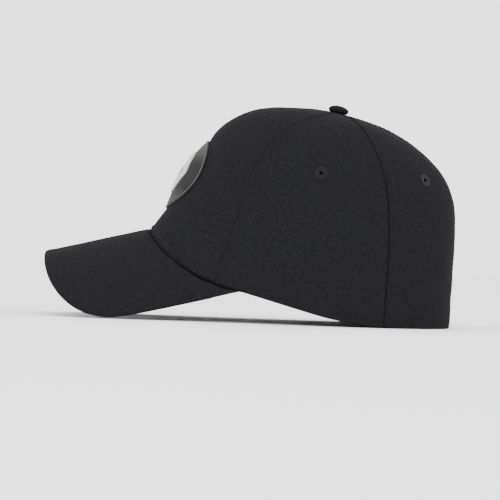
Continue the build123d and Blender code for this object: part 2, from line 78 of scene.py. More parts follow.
@dataclass
class CrownSurface:
    """The crown's outer face, given by an angle round from the front and a depth below the top."""

    front: Profile = Profile(73.4, 0.284, 5.6, 7.7)
    back: Profile = Profile(87.6, 0.144, 3.2)
    side: Profile = Profile(70.6, 0.08, 3.8)
    dome_depth: float = 75.0
    front_squareness: float = 0.22
    back_squareness: float = 0.2
    square_depth: float = 110.0
    flare_power: float = 4.3
    peak_depth: float = 105.3
    mount_depth: float = 110.0
    rim_steps: int = 720
    origin: Array = field(init=False)
    tilt: float = field(init=False)
    rim_depths: Array = field(init=False)

    def __post_init__(self) -> None:
        """Find the crown's place from its head opening, and its rim from the fitted panels."""
        mount = next(m for m in frame["record"]["mounts"] if m["name"] == "head_opening")
        axis = np.array(mount["axis"])
        self.tilt = math.atan2(-axis[1], -axis[2])
        self.origin = np.array(mount["pos_m"]) / MM - axis * self.mount_depth
        self.rim_depths = self._find_rim()

    def reach(self, profile: Profile, depth: Array) -> Array:
        """Distance from the axis to the face, in one upright plane.

        Args:
            profile: Which plane's outline.
            depth: Depths below the crown's top.

        Returns:
            The distances, in millimetres.
        """
        share = np.clip(1 - depth / self.dome_depth, 0, 1)
        flare = profile.flare * (np.maximum(depth, 0) / self.peak_depth) ** self.flare_power
        wall = profile.reach + profile.slope * depth + flare
        return wall * np.sqrt(1 - share**profile.roundness)

    def radius(self, angle: Array, depth: Array) -> Array:
        """Distance from the axis to the face at any angle.

        Args:
            angle: Angles round from the front, in degrees, positive towards the wearer's left.
            depth: Depths below the crown's top.

        Returns:
            The distances, in millimetres.
        """
        sine, cosine = np.sin(np.radians(angle)), np.cos(np.radians(angle))
        share = np.clip(depth / self.square_depth, 0, 1)
        squareness = np.where(cosine > 0, self.front_squareness, self.back_squareness)
        power = 2 + squareness * share**2 * (3 - 2 * share)
        along = np.where(cosine > 0, self.reach(self.front, depth), self.reach(self.back, depth))
        across = self.reach(self.side, depth)
        total = np.abs(sine / np.maximum(across, 1e-6)) ** power
        total = total + np.abs(cosine / np.maximum(along, 1e-6)) ** power
        return total ** (-1 / power)

    def place(self, local: Array) -> Array:
        """Turn points of the crown's own frame into the shared frame.

        Args:
            local: Points as (x, y, z) rows, in millimetres.

        Returns:
            The same points in the shared frame, in millimetres.
        """
        cosine, sine = math.cos(self.tilt), math.sin(self.tilt)
        y = local[..., 1] * cosine + local[..., 2] * sine
        z = local[..., 2] * cosine - local[..., 1] * sine
        return np.stack((local[..., 0], y, z), -1) + self.origin

    def local(self, placed: Array) -> Array:
        """Undo place."""
        moved = placed - self.origin
        cosine, sine = math.cos(self.tilt), math.sin(self.tilt)
        y = moved[..., 1] * cosine - moved[..., 2] * sine
        z = moved[..., 2] * cosine + moved[..., 1] * sine
        return np.stack((moved[..., 0], y, z), -1)

    def bare(self, angle: Array, depth: Array) -> Array:
        """Points of the face in the crown's own frame."""
        radius = self.radius(angle, depth)
        turn = np.radians(angle)
        return np.stack((radius * np.sin(turn), -radius * np.cos(turn), -depth + 0 * radius), -1)

    def normal(self, angle: Array, depth: Array) -> Array:
        """Outward unit normals of the face in the crown's own frame.

        Args:
            angle: Angles in degrees.
            depth: Depths in millimetres.

        Returns:
            Unit vectors.
        """
        deep = np.maximum(depth, 0.05)
        around = self.bare(angle + 0.3, deep) - self.bare(angle - 0.3, deep)
        down = self.bare(angle, deep * 1.01 + 0.02) - self.bare(angle, deep * 0.99)
        out = np.cross(down, around)
        return out / np.maximum(np.linalg.norm(out, axis=-1, keepdims=True), 1e-9)

    def point(self, angle: Array, depth: Array, lift: Array | float = 0.0) -> Array:
        """Points of the shared frame at a height over the face.

        Args:
            angle: Angles in degrees.
            depth: Depths in millimetres.
            lift: Height outwards, in millimetres.

        Returns:
            Points in millimetres.
        """
        angle, depth = np.broadcast_arrays(np.asarray(angle, float), np.asarray(depth, float))
        height = np.broadcast_to(np.asarray(lift, float), angle.shape)
        return self.place(self.bare(angle, depth) + self.normal(angle, depth) * height[..., None])

    def _find_rim(self) -> Array:
        """Find how deep the fitted panels reach at each angle."""
        vertices, faces = [], []
        for node in PANEL_NODES:
            mesh = frame["nodes"][node].data
            first = len(vertices)
            vertices += [v.co.copy() for v in mesh.vertices]
            faces += [[first + i for i in p.vertices] for p in mesh.polygons]
        tree = BVHTree.FromPolygons(vertices, faces)
        angles = np.linspace(-180, 180, self.rim_steps + 1)
        low, high = np.full(angles.shape, 95.0), np.full(angles.shape, 158.0)
        for _ in range(14):
            middle = (low + high) / 2
            outside = self.bare(angles, middle)
            away = outside * [1, 1, 0]
            away /= np.linalg.norm(away, axis=-1, keepdims=True)
            starts = self.place(outside + 6 * away) * MM
            ends = self.place(outside - 6 * away) * MM
            rays = [(Vector(start), Vector(end - start).normalized()) for start, end in zip(starts, ends)]
            hits = [tree.ray_cast(start, way, 0.012)[0] is not None for start, way in rays]
            low, high = np.where(hits, middle, low), np.where(hits, high, middle)
        steady = np.median([np.roll(low[:-1], shift) for shift in range(-4, 5)], axis=0)
        smooth = np.mean([np.roll(steady, shift) for shift in range(-2, 3)], axis=0)
        return np.append(smooth, smooth[0])

    def rim(self, angle: Array) -> Array:
        """Depth of the rim at any angle."""
        turned = (np.asarray(angle, float) + 180) % 360 - 180
        return np.interp(turned, np.linspace(-180, 180, self.rim_steps + 1), self.rim_depths)


EYELET_NODES = ("left_side_eyelet", "right_side_eyelet", "left_rear_eyelet", "right_rear_eyelet")
PANEL_NODES = ("front_panel", "left_side_panel", "right_side_panel", "left_rear_panel", "right_rear_panel")


# --------------------------------------------------------------------------------------
# Mesh helpers
# --------------------------------------------------------------------------------------


def make_piece(
    name: str,
    points: Array,
    faces: Sequence[Sequence[int]],
    material: bpy.types.Material,
    uv: Array | None = None,
    smooth: bool = True,
) -> bpy.types.Object:
    """Make one mesh object at the origin.

    Args:
        name: The piece's name.
        points: Vertices in millimetres, shared frame.
        faces: Vertex indices of each face.
        material: Its finish.
        uv: One (u, v) in millimetres along the surface for each vertex.
        smooth: Whether its faces are shaded smooth.

    Returns:
        The new object.
    """
    mesh = bpy.data.meshes.new(name)
    mesh.from_pydata((np.asarray(points) * MM).tolist(), [], [list(map(int, f)) for f in faces])
    if uv is not None:
        layer = mesh.uv_layers.new(name="cloth")
        corners = np.empty(len(mesh.loops), dtype=np.int32)
        mesh.loops.foreach_get("vertex_index", corners)
        layer.data.foreach_set("uv", np.asarray(uv, np.float32)[corners].ravel())
    mesh.materials.append(material)
    mesh.polygons.foreach_set("use_smooth", [smooth] * len(mesh.polygons))
    mesh.update()
    piece = bpy.data.objects.new(name, mesh)
    bpy.context.scene.collection.objects.link(piece)
    return piece


def paint(piece: bpy.types.Object, name: str, values: Array) -> None:
    """Give each vertex of a piece a number that its finish reads.

    Args:
        piece: The piece.
        name: The attribute's name.
        values: One number for each vertex.
    """
    attribute = piece.data.attributes.new(name, "FLOAT", "POINT")
    attribute.data.foreach_set("value", np.ascontiguousarray(values, np.float32).ravel())


def grid_faces(
    rows: int, columns: int, close_rows: bool = False, close_columns: bool = False
) -> list[list[int]]:
    """Quads of a grid of vertices that runs row by row.

    Args:
        rows: Number of rows.
        columns: Number of columns.
        close_rows: Whether the last row joins the first.
        close_columns: Whether the last column joins the first.

    Returns:
        Four vertex indices for each face.
    """
    faces = []
    for r in range(rows if close_rows else rows - 1):
        below = (r + 1) % rows
        for c in range(columns if close_columns else columns - 1):
            beside = (c + 1) % columns
            top, bottom = r * columns, below * columns
            faces.append([top + c, top + beside, bottom + beside, bottom + c])
    return faces


def end_caps(rows: int, columns: int) -> list[list[int]]:
    """Faces that close a grid rolled up row by row, at its first and last column."""
    return [[r * columns for r in range(rows)][::-1], [(r + 1) * columns - 1 for r in range(rows)]]


def face_outwards(piece: bpy.types.Object) -> None:
    """Make every face of a closed mesh point outwards."""
    work = bmesh.new()
    work.from_mesh(piece.data)
    bmesh.ops.recalc_face_normals(work, faces=work.faces)
    work.to_mesh(piece.data)
    work.free()


def spread(
    start: float, end: float, features: Sequence[float], gap: float, fine_gap: float, width: float
) -> Array:
    """Places along a line that stand closer together beside its features.

    Args:
        start: First place.
        end: Last place.
        features: Places that need detail.
        gap: Usual distance between places.
        fine_gap: Distance at a feature.
        width: How far a feature's detail reaches.

    Returns:
        The places.
    """
    fine = np.linspace(start, end, 4001)
    density = np.full(fine.shape, 1 / gap)
    for feature in features:
        density = np.maximum(density, 1 / fine_gap * np.exp(-(((fine - feature) / width) ** 4)))
    total = np.concatenate(([0], np.cumsum((density[1:] + density[:-1]) / 2 * np.diff(fine))))
    return np.interp(np.linspace(0, total[-1], int(total[-1]) + 2), total, fine)


def bump(distance: Array, middle: float, width: float) -> Array:
    """Smooth bump of height 1 at a distance from a seam."""
    return np.exp(-(((distance - middle) / width) ** 2))


def wander(points: Array, wavelength: float, seed: int) -> Array:
    """Gentle uneven waves through space, between about -1 and 1.

    Args:
        points: Points in millimetres.
        wavelength: Usual distance from crest to crest.
        seed: Which waves.

    Returns:
        One value for each point.
    """
    random = np.random.default_rng(seed)
    total = np.zeros(points.shape[:-1])
    for _ in range(7):
        direction = random.normal(size=3)
        direction /= np.linalg.norm(direction)
        length = wavelength * random.uniform(0.7, 1.5)
        total += np.sin(points @ direction * 2 * math.pi / length + random.uniform(0, 2 * math.pi))
    return total / 3.2


# --------------------------------------------------------------------------------------
# Finishes
# --------------------------------------------------------------------------------------


def linear(hex_colour: str) -> tuple[float, float, float, float]:
    """Turn an sRGB hex colour into the linear one that shaders take.

    Args:
        hex_colour: Six hex digits.

    Returns:
        Red, green, blue and alpha.
    """
    parts = [int(hex_colour[i : i + 2], 16) / 255 for i in (0, 2, 4)]
    return (*(c / 12.92 if c <= 0.04045 else ((c + 0.055) / 1.055) ** 2.4 for c in parts), 1.0)


def add_node(
    tree: bpy.types.NodeTree, kind: str, settings: dict | None = None, **links: object
) -> bpy.types.Node:
    """Add a node, set it and feed its inputs.

    Args:
        tree: Node tree to add it to.
        kind: Blender's node type.
        settings: Attributes of the node.
        links: Inputs by name, with _ for a space or by number as i0, i1: an output socket or a value.

    Returns:
        The new node.
    """
    node = tree.nodes.new(kind)
    for key, value in (settings or {}).items():
        setattr(node, key, value)
    for key, value in links.items():
        number = key[1:].isdigit() and key[0] == "i"
        socket = node.inputs[int(key[1:])] if number else node.inputs[key.replace("_", " ")]
        if isinstance(value, bpy.types.NodeSocket):
            tree.links.new(value, socket)
        else:
            socket.default_value = value
    return node


class Weave(Enum):
    """How a cloth's threads run."""

    TWILL = "twill"
    PLAIN = "plain"
    PILE = "pile"
    NONE = "none"


class Space(Enum):
    """What a pattern is laid out on."""

    CLOTH = "cloth"
    OBJECT = "object"


@dataclass(frozen=True)
class Finish:
    """One surface finish, with its pattern's sizes in millimetres."""

    name: str
    colour: str
    second: str
    roughness: float = 0.9
    weave: Weave = Weave.NONE
    space: Space = Space.OBJECT
    pitch: float = 1.3
    grain: float = 0.7
    mottle: float = 9.0
    relief: float = 0.25
    sheen: float = 0.0
    metallic: float = 0.0
    coat: float = 0.0
    specular: float = 0.5
    lint: float = 0.0

    def build(self) -> bpy.types.Material:
        """Build the material's nodes.

        Returns:
            The material.
        """
        material = bpy.data.materials.new(self.name)
        material.use_nodes = True
        tree = material.node_tree
        shader = tree.nodes["Principled BSDF"]
        if self.space is Space.CLOTH:
            coordinates = add_node(tree, "ShaderNodeUVMap", {"uv_map": "cloth"}).outputs["UV"]
            place = coordinates
        else:
            coordinates = add_node(tree, "ShaderNodeTexCoord").outputs["Object"]
            scaled = add_node(tree, "ShaderNodeMapping", Vector=coordinates, Scale=(1 / MM,) * 3)
            place = scaled.outputs["Vector"]
        broad = self._noise(tree, place, self.mottle, 3.0, 0.6)
        fine = self._noise(tree, place, self.grain, 4.0, 0.7)
        relief = fine.outputs["Fac"]
        tone = add_node(
            tree, "ShaderNodeMath", {"operation": "MULTIPLY"}, i0=broad.outputs["Fac"], i1=fine.outputs["Fac"]
        ).outputs[0]
        threads = self._threads(tree, place)
        if threads is not None:
            ways = {"operation": "MULTIPLY_ADD"}
            relief = add_node(tree, "ShaderNodeMath", ways, i0=threads, i1=0.8, i2=relief).outputs[0]
            tone = add_node(tree, "ShaderNodeMath", ways, i0=threads, i1=0.09, i2=tone).outputs[0]
        spread_out = add_node(
            tree, "ShaderNodeMapRange", Value=tone, From_Min=0.12, From_Max=0.52, To_Min=0.0, To_Max=1.0
        ).outputs["Result"]
        mixed = add_node(tree, "ShaderNodeMix", {"data_type": "RGBA"}, i0=spread_out)
        mixed.inputs[6].default_value = linear(self.colour)
        mixed.inputs[7].default_value = linear(self.second)
        colour = mixed.outputs[2]
        if self.lint:
            colour = self._lint(tree, place, colour)
            # Painted shade: the cloth is darkened towards near black in its seams and along the peak's join.
            seam_shade = add_node(tree, "ShaderNodeAttribute", {"attribute_name": "seam_shade"}).outputs["Fac"]
            shaded = add_node(tree, "ShaderNodeMix", {"data_type": "RGBA"}, i0=seam_shade)
            tree.links.new(colour, shaded.inputs[6])
            shaded.inputs[7].default_value = linear("020202")
            colour = shaded.outputs[2]
        tree.links.new(colour, shader.inputs["Base Color"])
        bump_node = add_node(tree, "ShaderNodeBump", Height=relief, Strength=0.6, Distance=self.relief * MM)
        tree.links.new(bump_node.outputs["Normal"], shader.inputs["Normal"])
        rough = add_node(
            tree,
            "ShaderNodeMapRange",
            Value=broad.outputs["Fac"],
            From_Min=0.3,
            From_Max=0.7,
            To_Min=max(self.roughness - 0.05, 0.05),
            To_Max=min(self.roughness + 0.05, 1.0),
        )
        tree.links.new(rough.outputs["Result"], shader.inputs["Roughness"])
        shader.inputs["Metallic"].default_value = self.metallic
        shader.inputs["Specular IOR Level"].default_value = self.specular
        shader.inputs["Sheen Weight"].default_value = self.sheen
        shader.inputs["Sheen Roughness"].default_value = 0.6
        shader.inputs["Coat Weight"].default_value = self.coat
        return material

    @staticmethod
    def _noise(
        tree: bpy.types.NodeTree, place: bpy.types.NodeSocket, size: float, detail: float, roughness: float
    ) -> bpy.types.Node:
        """Noise whose patches are about a size, in millimetres."""
        kind = "ShaderNodeTexNoise"
        return add_node(tree, kind, Vector=place, Scale=1 / size, Detail=detail, Roughness=roughness)

    def _threads(self, tree: bpy.types.NodeTree, place: bpy.types.NodeSocket) -> bpy.types.NodeSocket | None:
        """Height of the weave's threads, or nothing where there is no weave."""
        if self.weave is Weave.NONE:
            return None
        if self.weave is Weave.PILE:
            loops = add_node(tree, "ShaderNodeTexVoronoi", Vector=place, Scale=1 / self.pitch)
            return loops.outputs["Distance"]
        turn = math.radians(52) if self.weave is Weave.TWILL else 0.0
        turned = add_node(tree, "ShaderNodeMapping", Vector=place, Rotation=(0, 0, turn)).outputs["Vector"]
        scale = 1 / self.pitch / 3.18
        ribs = add_node(tree, "ShaderNodeTexWave", Vector=turned, Scale=scale, Distortion=3.5, Detail=3.0)
        if self.weave is Weave.TWILL:
            return ribs.outputs["Fac"]
        bands = {"bands_direction": "Y"}
        across = add_node(
            tree, "ShaderNodeTexWave", bands, Vector=turned, Scale=scale, Distortion=1.2, Detail=2.0
        )
        return add_node(
            tree, "ShaderNodeMath", {"operation": "MAXIMUM"}, i0=ribs.outputs["Fac"], i1=across.outputs["Fac"]
        ).outputs[0]

    def _lint(
        self, tree: bpy.types.NodeTree, place: bpy.types.NodeSocket, colour: bpy.types.NodeSocket
    ) -> bpy.types.NodeSocket:
        """Scatter pale specks of lint over a colour."""
        cells = add_node(tree, "ShaderNodeTexVoronoi", Vector=place, Scale=1 / 4.2)
        away = cells.outputs["Distance"]
        near = add_node(
            tree, "ShaderNodeMapRange", Value=away, From_Min=0.05, From_Max=0.11, To_Min=self.lint
        )
        near.inputs["To Max"].default_value = 0.0
        mixed = add_node(tree, "ShaderNodeMix", {"data_type": "RGBA"}, i0=near.outputs["Result"])
        tree.links.new(colour, mixed.inputs[6])
        mixed.inputs[7].default_value = linear("6f7072")
        return mixed.outputs[2]


FINISHES = (
    # Black cotton twill, piece-dyed: matt, with faint diagonal ribs and pale lint. Its ribs are drawn
    # 2 times too coarse.
    Finish(
        "black_cotton_twill", "131314", "212123", 0.97, Weave.TWILL, Space.CLOTH,
        pitch=1.0, mottle=3.0, specular=0.03, lint=0.07,
    ),
    # The same cloth seen along its cut edge and in its stitching: rayon thread with a slight shine.
    Finish("black_embroidery_thread", "0e0e0f", "1c1c1e", 0.65, grain=0.5, relief=0.1, specular=0.15),
    # Sewing thread of the top stitching: dull spun polyester, darker than the cloth, which is partly its own
    # colour and partly painted shade of the sunk stitch holes.
    Finish(
        "black_sewing_thread", "080808", "141415", 0.75, grain=0.4,
        relief=0.08, sheen=0.03, specular=0.15,
    ),
    # Bias tape over the inner seams: plain woven cotton.
    Finish(
        "black_seam_tape", "121213", "202022", 0.92, Weave.PLAIN,
        Space.CLOTH, pitch=0.9, sheen=0.05, specular=0.15,
    ),
    # Sweatband of brushed terry: a soft pile that scatters light.
    Finish(
        "black_terry", "101011", "1f1f21", 0.98, Weave.PILE, Space.CLOTH,
        pitch=1.1, relief=0.4, sheen=0.12, specular=0.1,
    ),
    # Soft moulded PVC badge: satin grey, paler on its raised rim.
    Finish("pale_pvc_edge", "3c3c3b", "4c4c4a", 0.6, grain=0.9, relief=0.03, specular=0.2),
    # Emblem of silver-printed PVC: bright and nearly flat.
    Finish("silver_lacquer", "a9a9ad", "bcbcc0", 0.45, grain=2.0, relief=0.02, metallic=0.25, coat=0.1),
    # Injection-moulded ABS shell: spark-eroded texture, satin black.
    Finish("moulded_black_abs", "1a1a1b", "222223", 0.48, grain=0.6, relief=0.06, specular=0.5),
    # EVA foam pads, die-cut: closed cells that show as fine pores.
    Finish(
        "black_eva_foam", "202021", "303032", 0.85, Weave.PILE,
        Space.OBJECT, pitch=0.8, relief=0.12, specular=0.3,
    ),
    # Hook tape: a field of stiff nylon hooks.
    Finish(
        "nylon_hook_tape", "121213", "2c2c2e", 0.6, Weave.PILE,
        Space.OBJECT, pitch=1.2, relief=0.7, specular=0.4,
    ),
    # Loop tape: brushed nylon pile.
    Finish(
        "nylon_loop_tape", "101011", "262628", 0.97, Weave.PILE,
        Space.OBJECT, pitch=0.8, relief=0.5, sheen=0.4,
    ),
    # Woven nylon webbing of the size strap: ribs across its length.
    Finish(
        "nylon_webbing", "151516", "2b2b2d", 0.75, Weave.PLAIN,
        Space.CLOTH, pitch=1.2, relief=0.4, sheen=0.15,
    ),
    # Satin care label, left blank.
    Finish(
        "white_satin_label", "d4d3cf", "e6e5e1", 0.55, Weave.PLAIN,
        Space.CLOTH, pitch=0.6, relief=0.05, sheen=0.3,
    ),
    # Nickel-plated steel rivet.
    Finish("nickelled_steel", "a8a8aa", "bcbcbe", 0.3, grain=1.0, relief=0.02, metallic=1.0),
    # Matt paper floor.
    Finish("pale_floor", "f4f4f4", "f6f6f6", 0.9, grain=8.0, relief=0.0, specular=0.1),
)


# --------------------------------------------------------------------------------------
# Crown
# --------------------------------------------------------------------------------------


@dataclass(frozen=True)
class Seam:
    """A seam down the crown, which curves at its top, and which sides of it are top-stitched."""

    angle: float
    stitched_sides: tuple[int, ...]
    turn: float = 0.0
    turn_depth: float = 14.0
    strength: float = 0.8

    def at(self, depth: Array) -> Array:
        """Angle of the seam at each depth."""
        return self.angle + self.turn * np.exp(-np.maximum(depth, 0) / self.turn_depth)

    def mirrored(self) -> "Seam":
        """The same seam on the wearer's right."""
        sides = tuple(-side for side in self.stitched_sides)
        return Seam(-self.angle, sides, -self.turn, self.turn_depth, self.strength)


FRONT_SEAM = Seam(51.8, (1,), 26.0, 15.0, 0.14)
REAR_SEAM = Seam(131.0, (1,), -21.0, 55.0, 0.45)
BACK_SEAM = Seam(180.0, (-1, 1), strength=0.45)


@dataclass
class Crown:
    """The five sewn panels, with their seams, dart, hem and top stitching."""

    surface: CrownSurface
    peak: "Peak"
    cloth: bpy.types.Material
    thread: bpy.types.Material
    thickness: float = 1.2
    groove_depth: float = 0.7
    groove_width: float = 0.55
    allowance_height: float = 0.3
    stitch_offset: float = 3.2
    stitch_sink: float = 0.34
    dart_length: float = 70.0
    dart_ridge: float = 0.55
    peak_stitch: float = 4.6
    ripple: float = 0.1
    ripple_length: float = 3.4
    sag: float = 0.45
    column_gap: float = 1.15
    fine_gap: float = 0.32
    row_gap: float = 1.0
    hole_radius: float = 1.0
    deepest_fold: float = 0.8
    peak_seam: tuple[Array, Array] = field(init=False)
    eyes: Array = field(init=False)

    def __post_init__(self) -> None:
        """Find the line where the peak meets the crown, and the middles of the eyelets."""
        self.peak_seam = self.peak.seam()
        boxes = [np.array(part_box(node)) / MM for node in EYELET_NODES]
        self.eyes = np.array([box.mean(axis=0) for box in boxes])

    def seams(self) -> tuple[Seam, ...]:
        """The five seams, from the wearer's right round the front to the centre back."""
        return REAR_SEAM.mirrored(), FRONT_SEAM.mirrored(), FRONT_SEAM, REAR_SEAM, BACK_SEAM

    def relief(self, angle: Array, depth: Array, radius: Array, along: Array) -> Array:
        """Height of the sewn cloth over the smooth face.

        Args:
            angle: Angles in degrees.
            depth: Depths in millimetres.
            radius: Distance from the axis at each point.
            along: Distance from the top along the cloth.

        Returns:
            Heights in millimetres.
        """
        height = np.zeros(angle.shape)
        for number, seam in enumerate(self.seams()):
            firm = seam.strength + (1 - seam.strength) * np.clip(1 - depth / 22, 0, 1)
            turned = (angle - seam.at(depth) + 180) % 360 - 180
            side = np.radians(turned) * radius
            distance = np.abs(side)
            height -= firm * self.groove_depth * bump(distance, 0, self.groove_width)
            stitched = np.zeros(angle.shape, bool)
            for way in seam.stitched_sides:
                stitched |= side * way > 0
            height += firm * np.where(stitched, self.allowance_height, 0.1) * bump(distance, 1.9, 1.25)
            height -= np.where(stitched, self.stitch_sink, 0) * bump(distance, self.stitch_offset, 0.55)
            waves = np.sin(along * 2 * math.pi / self.ripple_length + 2.0 * np.sin(along / 9.0 + number))
            height += self.ripple * waves * bump(distance, 2.2, 1.9)
        height += self.dart_relief(angle, radius, along)
        height += self.peak_relief(angle, depth)
        points = self.surface.place(self.surface.bare(angle, depth))
        near = np.min([np.linalg.norm(points - eye, axis=-1) for eye in self.eyes], axis=0)
        calm = np.clip(along / 25, 0, 1) * np.clip((near - 5) / 8, 0, 1)
        height += self.sag * calm * wander(points, 46.0, SEED)
        height += 0.1 * calm * wander(points, 13.0, SEED + 1)
        return height

    def seam_shade(self, angle: Array, depth: Array, radius: Array) -> Array:
        """How deep in a sewn crease each point lies, 0 to 1: painted shade that the cloth's finish darkens
        towards near black.
        """
        deep = np.zeros(angle.shape)
        for seam in self.seams():
            side = np.radians((angle - seam.at(depth) + 180) % 360 - 180) * radius
            deep = np.maximum(deep, seam.strength * bump(side, 0, 0.7))
        angles, depths = self.peak_seam
        turned = (angle + 180) % 360 - 180
        above = np.interp(turned, angles, depths) - depth
        tucked = np.clip((0.9 - above) / 0.8, 0, 1) * 0.8
        return np.maximum(deep, (np.abs(turned) < angles.max() + 1) * tucked)

    def peak_relief(self, angle: Array, depth: Array) -> Array:
        """The cloth turned in along the peak's seam, and the stitch row over it."""
        angles, depths = self.peak_seam
        turned = (angle + 180) % 360 - 180
        above = np.interp(turned, angles, depths) - depth
        reached = np.abs(turned) < angles.max()
        groove = -0.9 * bump(above, 0.2, 0.9) + 0.4 * bump(above, 2.3, 1.3)
        return reached * (groove - self.stitch_sink * bump(above, self.peak_stitch, 0.55))

    def dart_relief(self, angle: Array, radius: Array, along: Array) -> Array:
        """The short dart that shapes the front panel's top."""
        side = np.radians((angle + 180) % 360 - 180) * radius
        ahead = np.cos(np.radians(angle)) > 0
        fade = np.clip((self.dart_length - along) / 14, 0, 1) * ahead
        groove = -self.groove_depth * 1.1 * bump(side, 0, self.groove_width)
        ridge = self.dart_ridge * bump(np.abs(side), 1.7, 1.2)
        sunk = self.stitch_sink * bump(np.abs(side), self.stitch_offset, 0.5)
        return fade * (groove + ridge - sunk)

    def lengths(self, bend: Callable[[Array], Array], rim_angle: Array) -> tuple[Array, Array, Array]:
        """Angle and depth down each column at fine spacing.

        Args:
            bend: Gives each column's angle at a depth.
            rim_angle: Each column's angle at the rim.

        Returns:
            Fine tables of angle, depth and distance from the top along the cloth.
        """
        share = np.linspace(0, 1, 420)[:, None]
        depth = self.surface.rim(rim_angle)[None, :] * (0.55 * share**2 + 0.45 * share**3)
        angle = bend(depth)
        points = self.surface.bare(angle, depth)
        steps = np.linalg.norm(np.diff(points, axis=0), axis=-1)
        return angle, depth, np.concatenate((np.zeros((1, depth.shape[1])), np.cumsum(steps, 0)))

    def panel(self, name: str, first: Seam, last: Seam) -> bpy.types.Object:
        """Make one panel, with its outer face, its turned rim and its lining face.

        Args:
            name: The CAD node that it stands for.
            first: Seam at its lower angle.
            last: Seam at its higher angle.

        Returns:
            The panel.
        """
        start, end = first.angle, last.angle if last.angle > first.angle else last.angle + 360
        features = [start, end] + ([0.0] if start < 0 < end else [])
        rim_angle = spread(start, end, features, self.column_gap / 1.75, self.fine_gap / 1.75, 3.6)
        share = (rim_angle - start) / (end - start)

        def bend(depth: Array) -> Array:
            """Angle of each column at a depth."""
            low, high = first.at(depth), last.at(depth)
            return low + (high + (end - last.angle) - low) * share

        angle_table, depth_table, length_table = self.lengths(bend, rim_angle)
        rows = int(length_table[-1].max() / self.row_gap)
        along = np.linspace(0, 1, rows)[:, None] * length_table[-1]
        depth, angle = np.empty(along.shape), np.empty(along.shape)
        for column in range(len(rim_angle)):
            depth[:, column] = np.interp(along[:, column], length_table[:, column], depth_table[:, column])
            angle[:, column] = np.interp(along[:, column], length_table[:, column], angle_table[:, column])
        radius = self.surface.radius(angle, depth)
        height = np.maximum(self.relief(angle, depth, radius, along), -self.deepest_fold)
        hem = length_table[-1][None, :] - along
        height = height * np.clip(hem / 4, 0.08, 1) + 0.12 * bump(hem, 7.0, 6.0)
        outer = self.surface.point(angle, depth, height)
        inner_height = np.minimum(height, 0.1) * 0.4 - self.thickness
        inner = self.surface.point(angle, depth, inner_height)
        normal = self.surface.place(self.surface.normal(rim_angle, depth[-1])) - self.surface.origin
        down = outer[-1] - outer[-3]
        down /= np.linalg.norm(down, axis=-1, keepdims=True)
        middle = (outer[-1] + inner[-1]) / 2
        half = np.linalg.norm(outer[-1] - inner[-1], axis=-1, keepdims=True) / 2
        turns = np.linspace(0.5, 2.64, 5)
        turned = [middle + half * (normal * math.cos(t) + down * math.sin(t)) for t in turns]
        loops = np.concatenate((outer, np.array(turned), inner[::-1]))
        faces = grid_faces(len(loops), len(rim_angle))
        faces += self._side_walls(len(loops), rows, len(rim_angle))
        mid = (start + end) / 2
        across = np.radians(angle - mid) * np.maximum(radius, 20)
        lengths_down = np.concatenate((along, np.array([along[-1] + k for k in range(1, 6)]), along[::-1]))
        across = np.concatenate((across, np.repeat(across[-1:], 5, 0), across[::-1]))
        uv = np.stack((across, -lengths_down), -1).reshape(-1, 2)
        piece = make_piece(f"{name}_cloth", loops.reshape(-1, 3), faces, self.cloth, uv)
        # Painted shade in the seams and along the peak's join, for the cloth's finish to darken.
        seam_shade = np.zeros(loops.shape[:2])
        seam_shade[:rows] = self.seam_shade(angle, depth, radius)
        paint(piece, "seam_shade", seam_shade)
        face_outwards(piece)
        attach(piece, "cap")
        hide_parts(name)
        return piece

    @staticmethod
    def _side_walls(total: int, rows: int, columns: int) -> list[list[int]]:
        """Quads that close a panel at its two seams."""
        faces = []
        for row in range(rows - 1):
            back, back_next = total - 1 - row, total - 2 - row
            for column, flip in ((0, False), (columns - 1, True)):
                quad = [row * columns + column, (row + 1) * columns + column]
                quad += [back_next * columns + column, back * columns + column]
                faces.append(quad[::-1] if flip else quad)
        return faces

    def punch(self, panel: bpy.types.Object, nodes: Sequence[str]) -> None:
        """Open a panel's vent holes under its eyelets.

        Args:
            panel: The panel.
            nodes: Its eyelets' CAD nodes.
        """
        work = bmesh.new()
        work.from_mesh(panel.data)
        for node in nodes:
            middle = sum((Vector(c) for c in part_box(node)), Vector()) / 2
            close = [v for v in work.verts if (v.co - middle).length < self.hole_radius * MM]
            bmesh.ops.delete(work, geom=close, context="VERTS")
        work.to_mesh(panel.data)
        work.free()

    def seam_line(self, seam: Seam, side: float, start: float, stop_short: float) -> Array:
        """Points of a stitch line that runs beside a seam.

        Args:
            seam: The seam.
            side: Distance from the seam, positive towards the wearer's left at the front.
            start: Distance from the top where it starts.
            stop_short: Distance above the rim where it stops.

        Returns:
            Points in millimetres.
        """
        angles, depths, lengths = self.lengths(seam.at, np.array([seam.angle]))
        along = np.arange(start, lengths[-1, 0] - stop_short, 1.2)
        depth = np.interp(along, lengths[:, 0], depths[:, 0])
        angle = np.interp(along, lengths[:, 0], angles[:, 0])
        radius = self.surface.radius(angle, depth)
        turned = angle + np.degrees(side / np.maximum(radius, 6))
        height = self.relief(turned, depth, radius, along)
        return self.surface.point(turned, depth, height + 0.05)

    def peak_line(self, rise: float) -> Array:
        """Points of the stitch line that follows the peak's seam."""
        seam_angles, seam_depths = self.peak_seam
        angles = np.linspace(seam_angles.min() + 1, seam_angles.max() - 1, 260)
        depth = np.interp(angles, seam_angles, seam_depths) - rise
        radius = self.surface.radius(angles, depth)
        height = self.relief(angles, depth, radius, np.full(depth.shape, 90.0))
        return self.surface.point(angles, depth, height + 0.05)

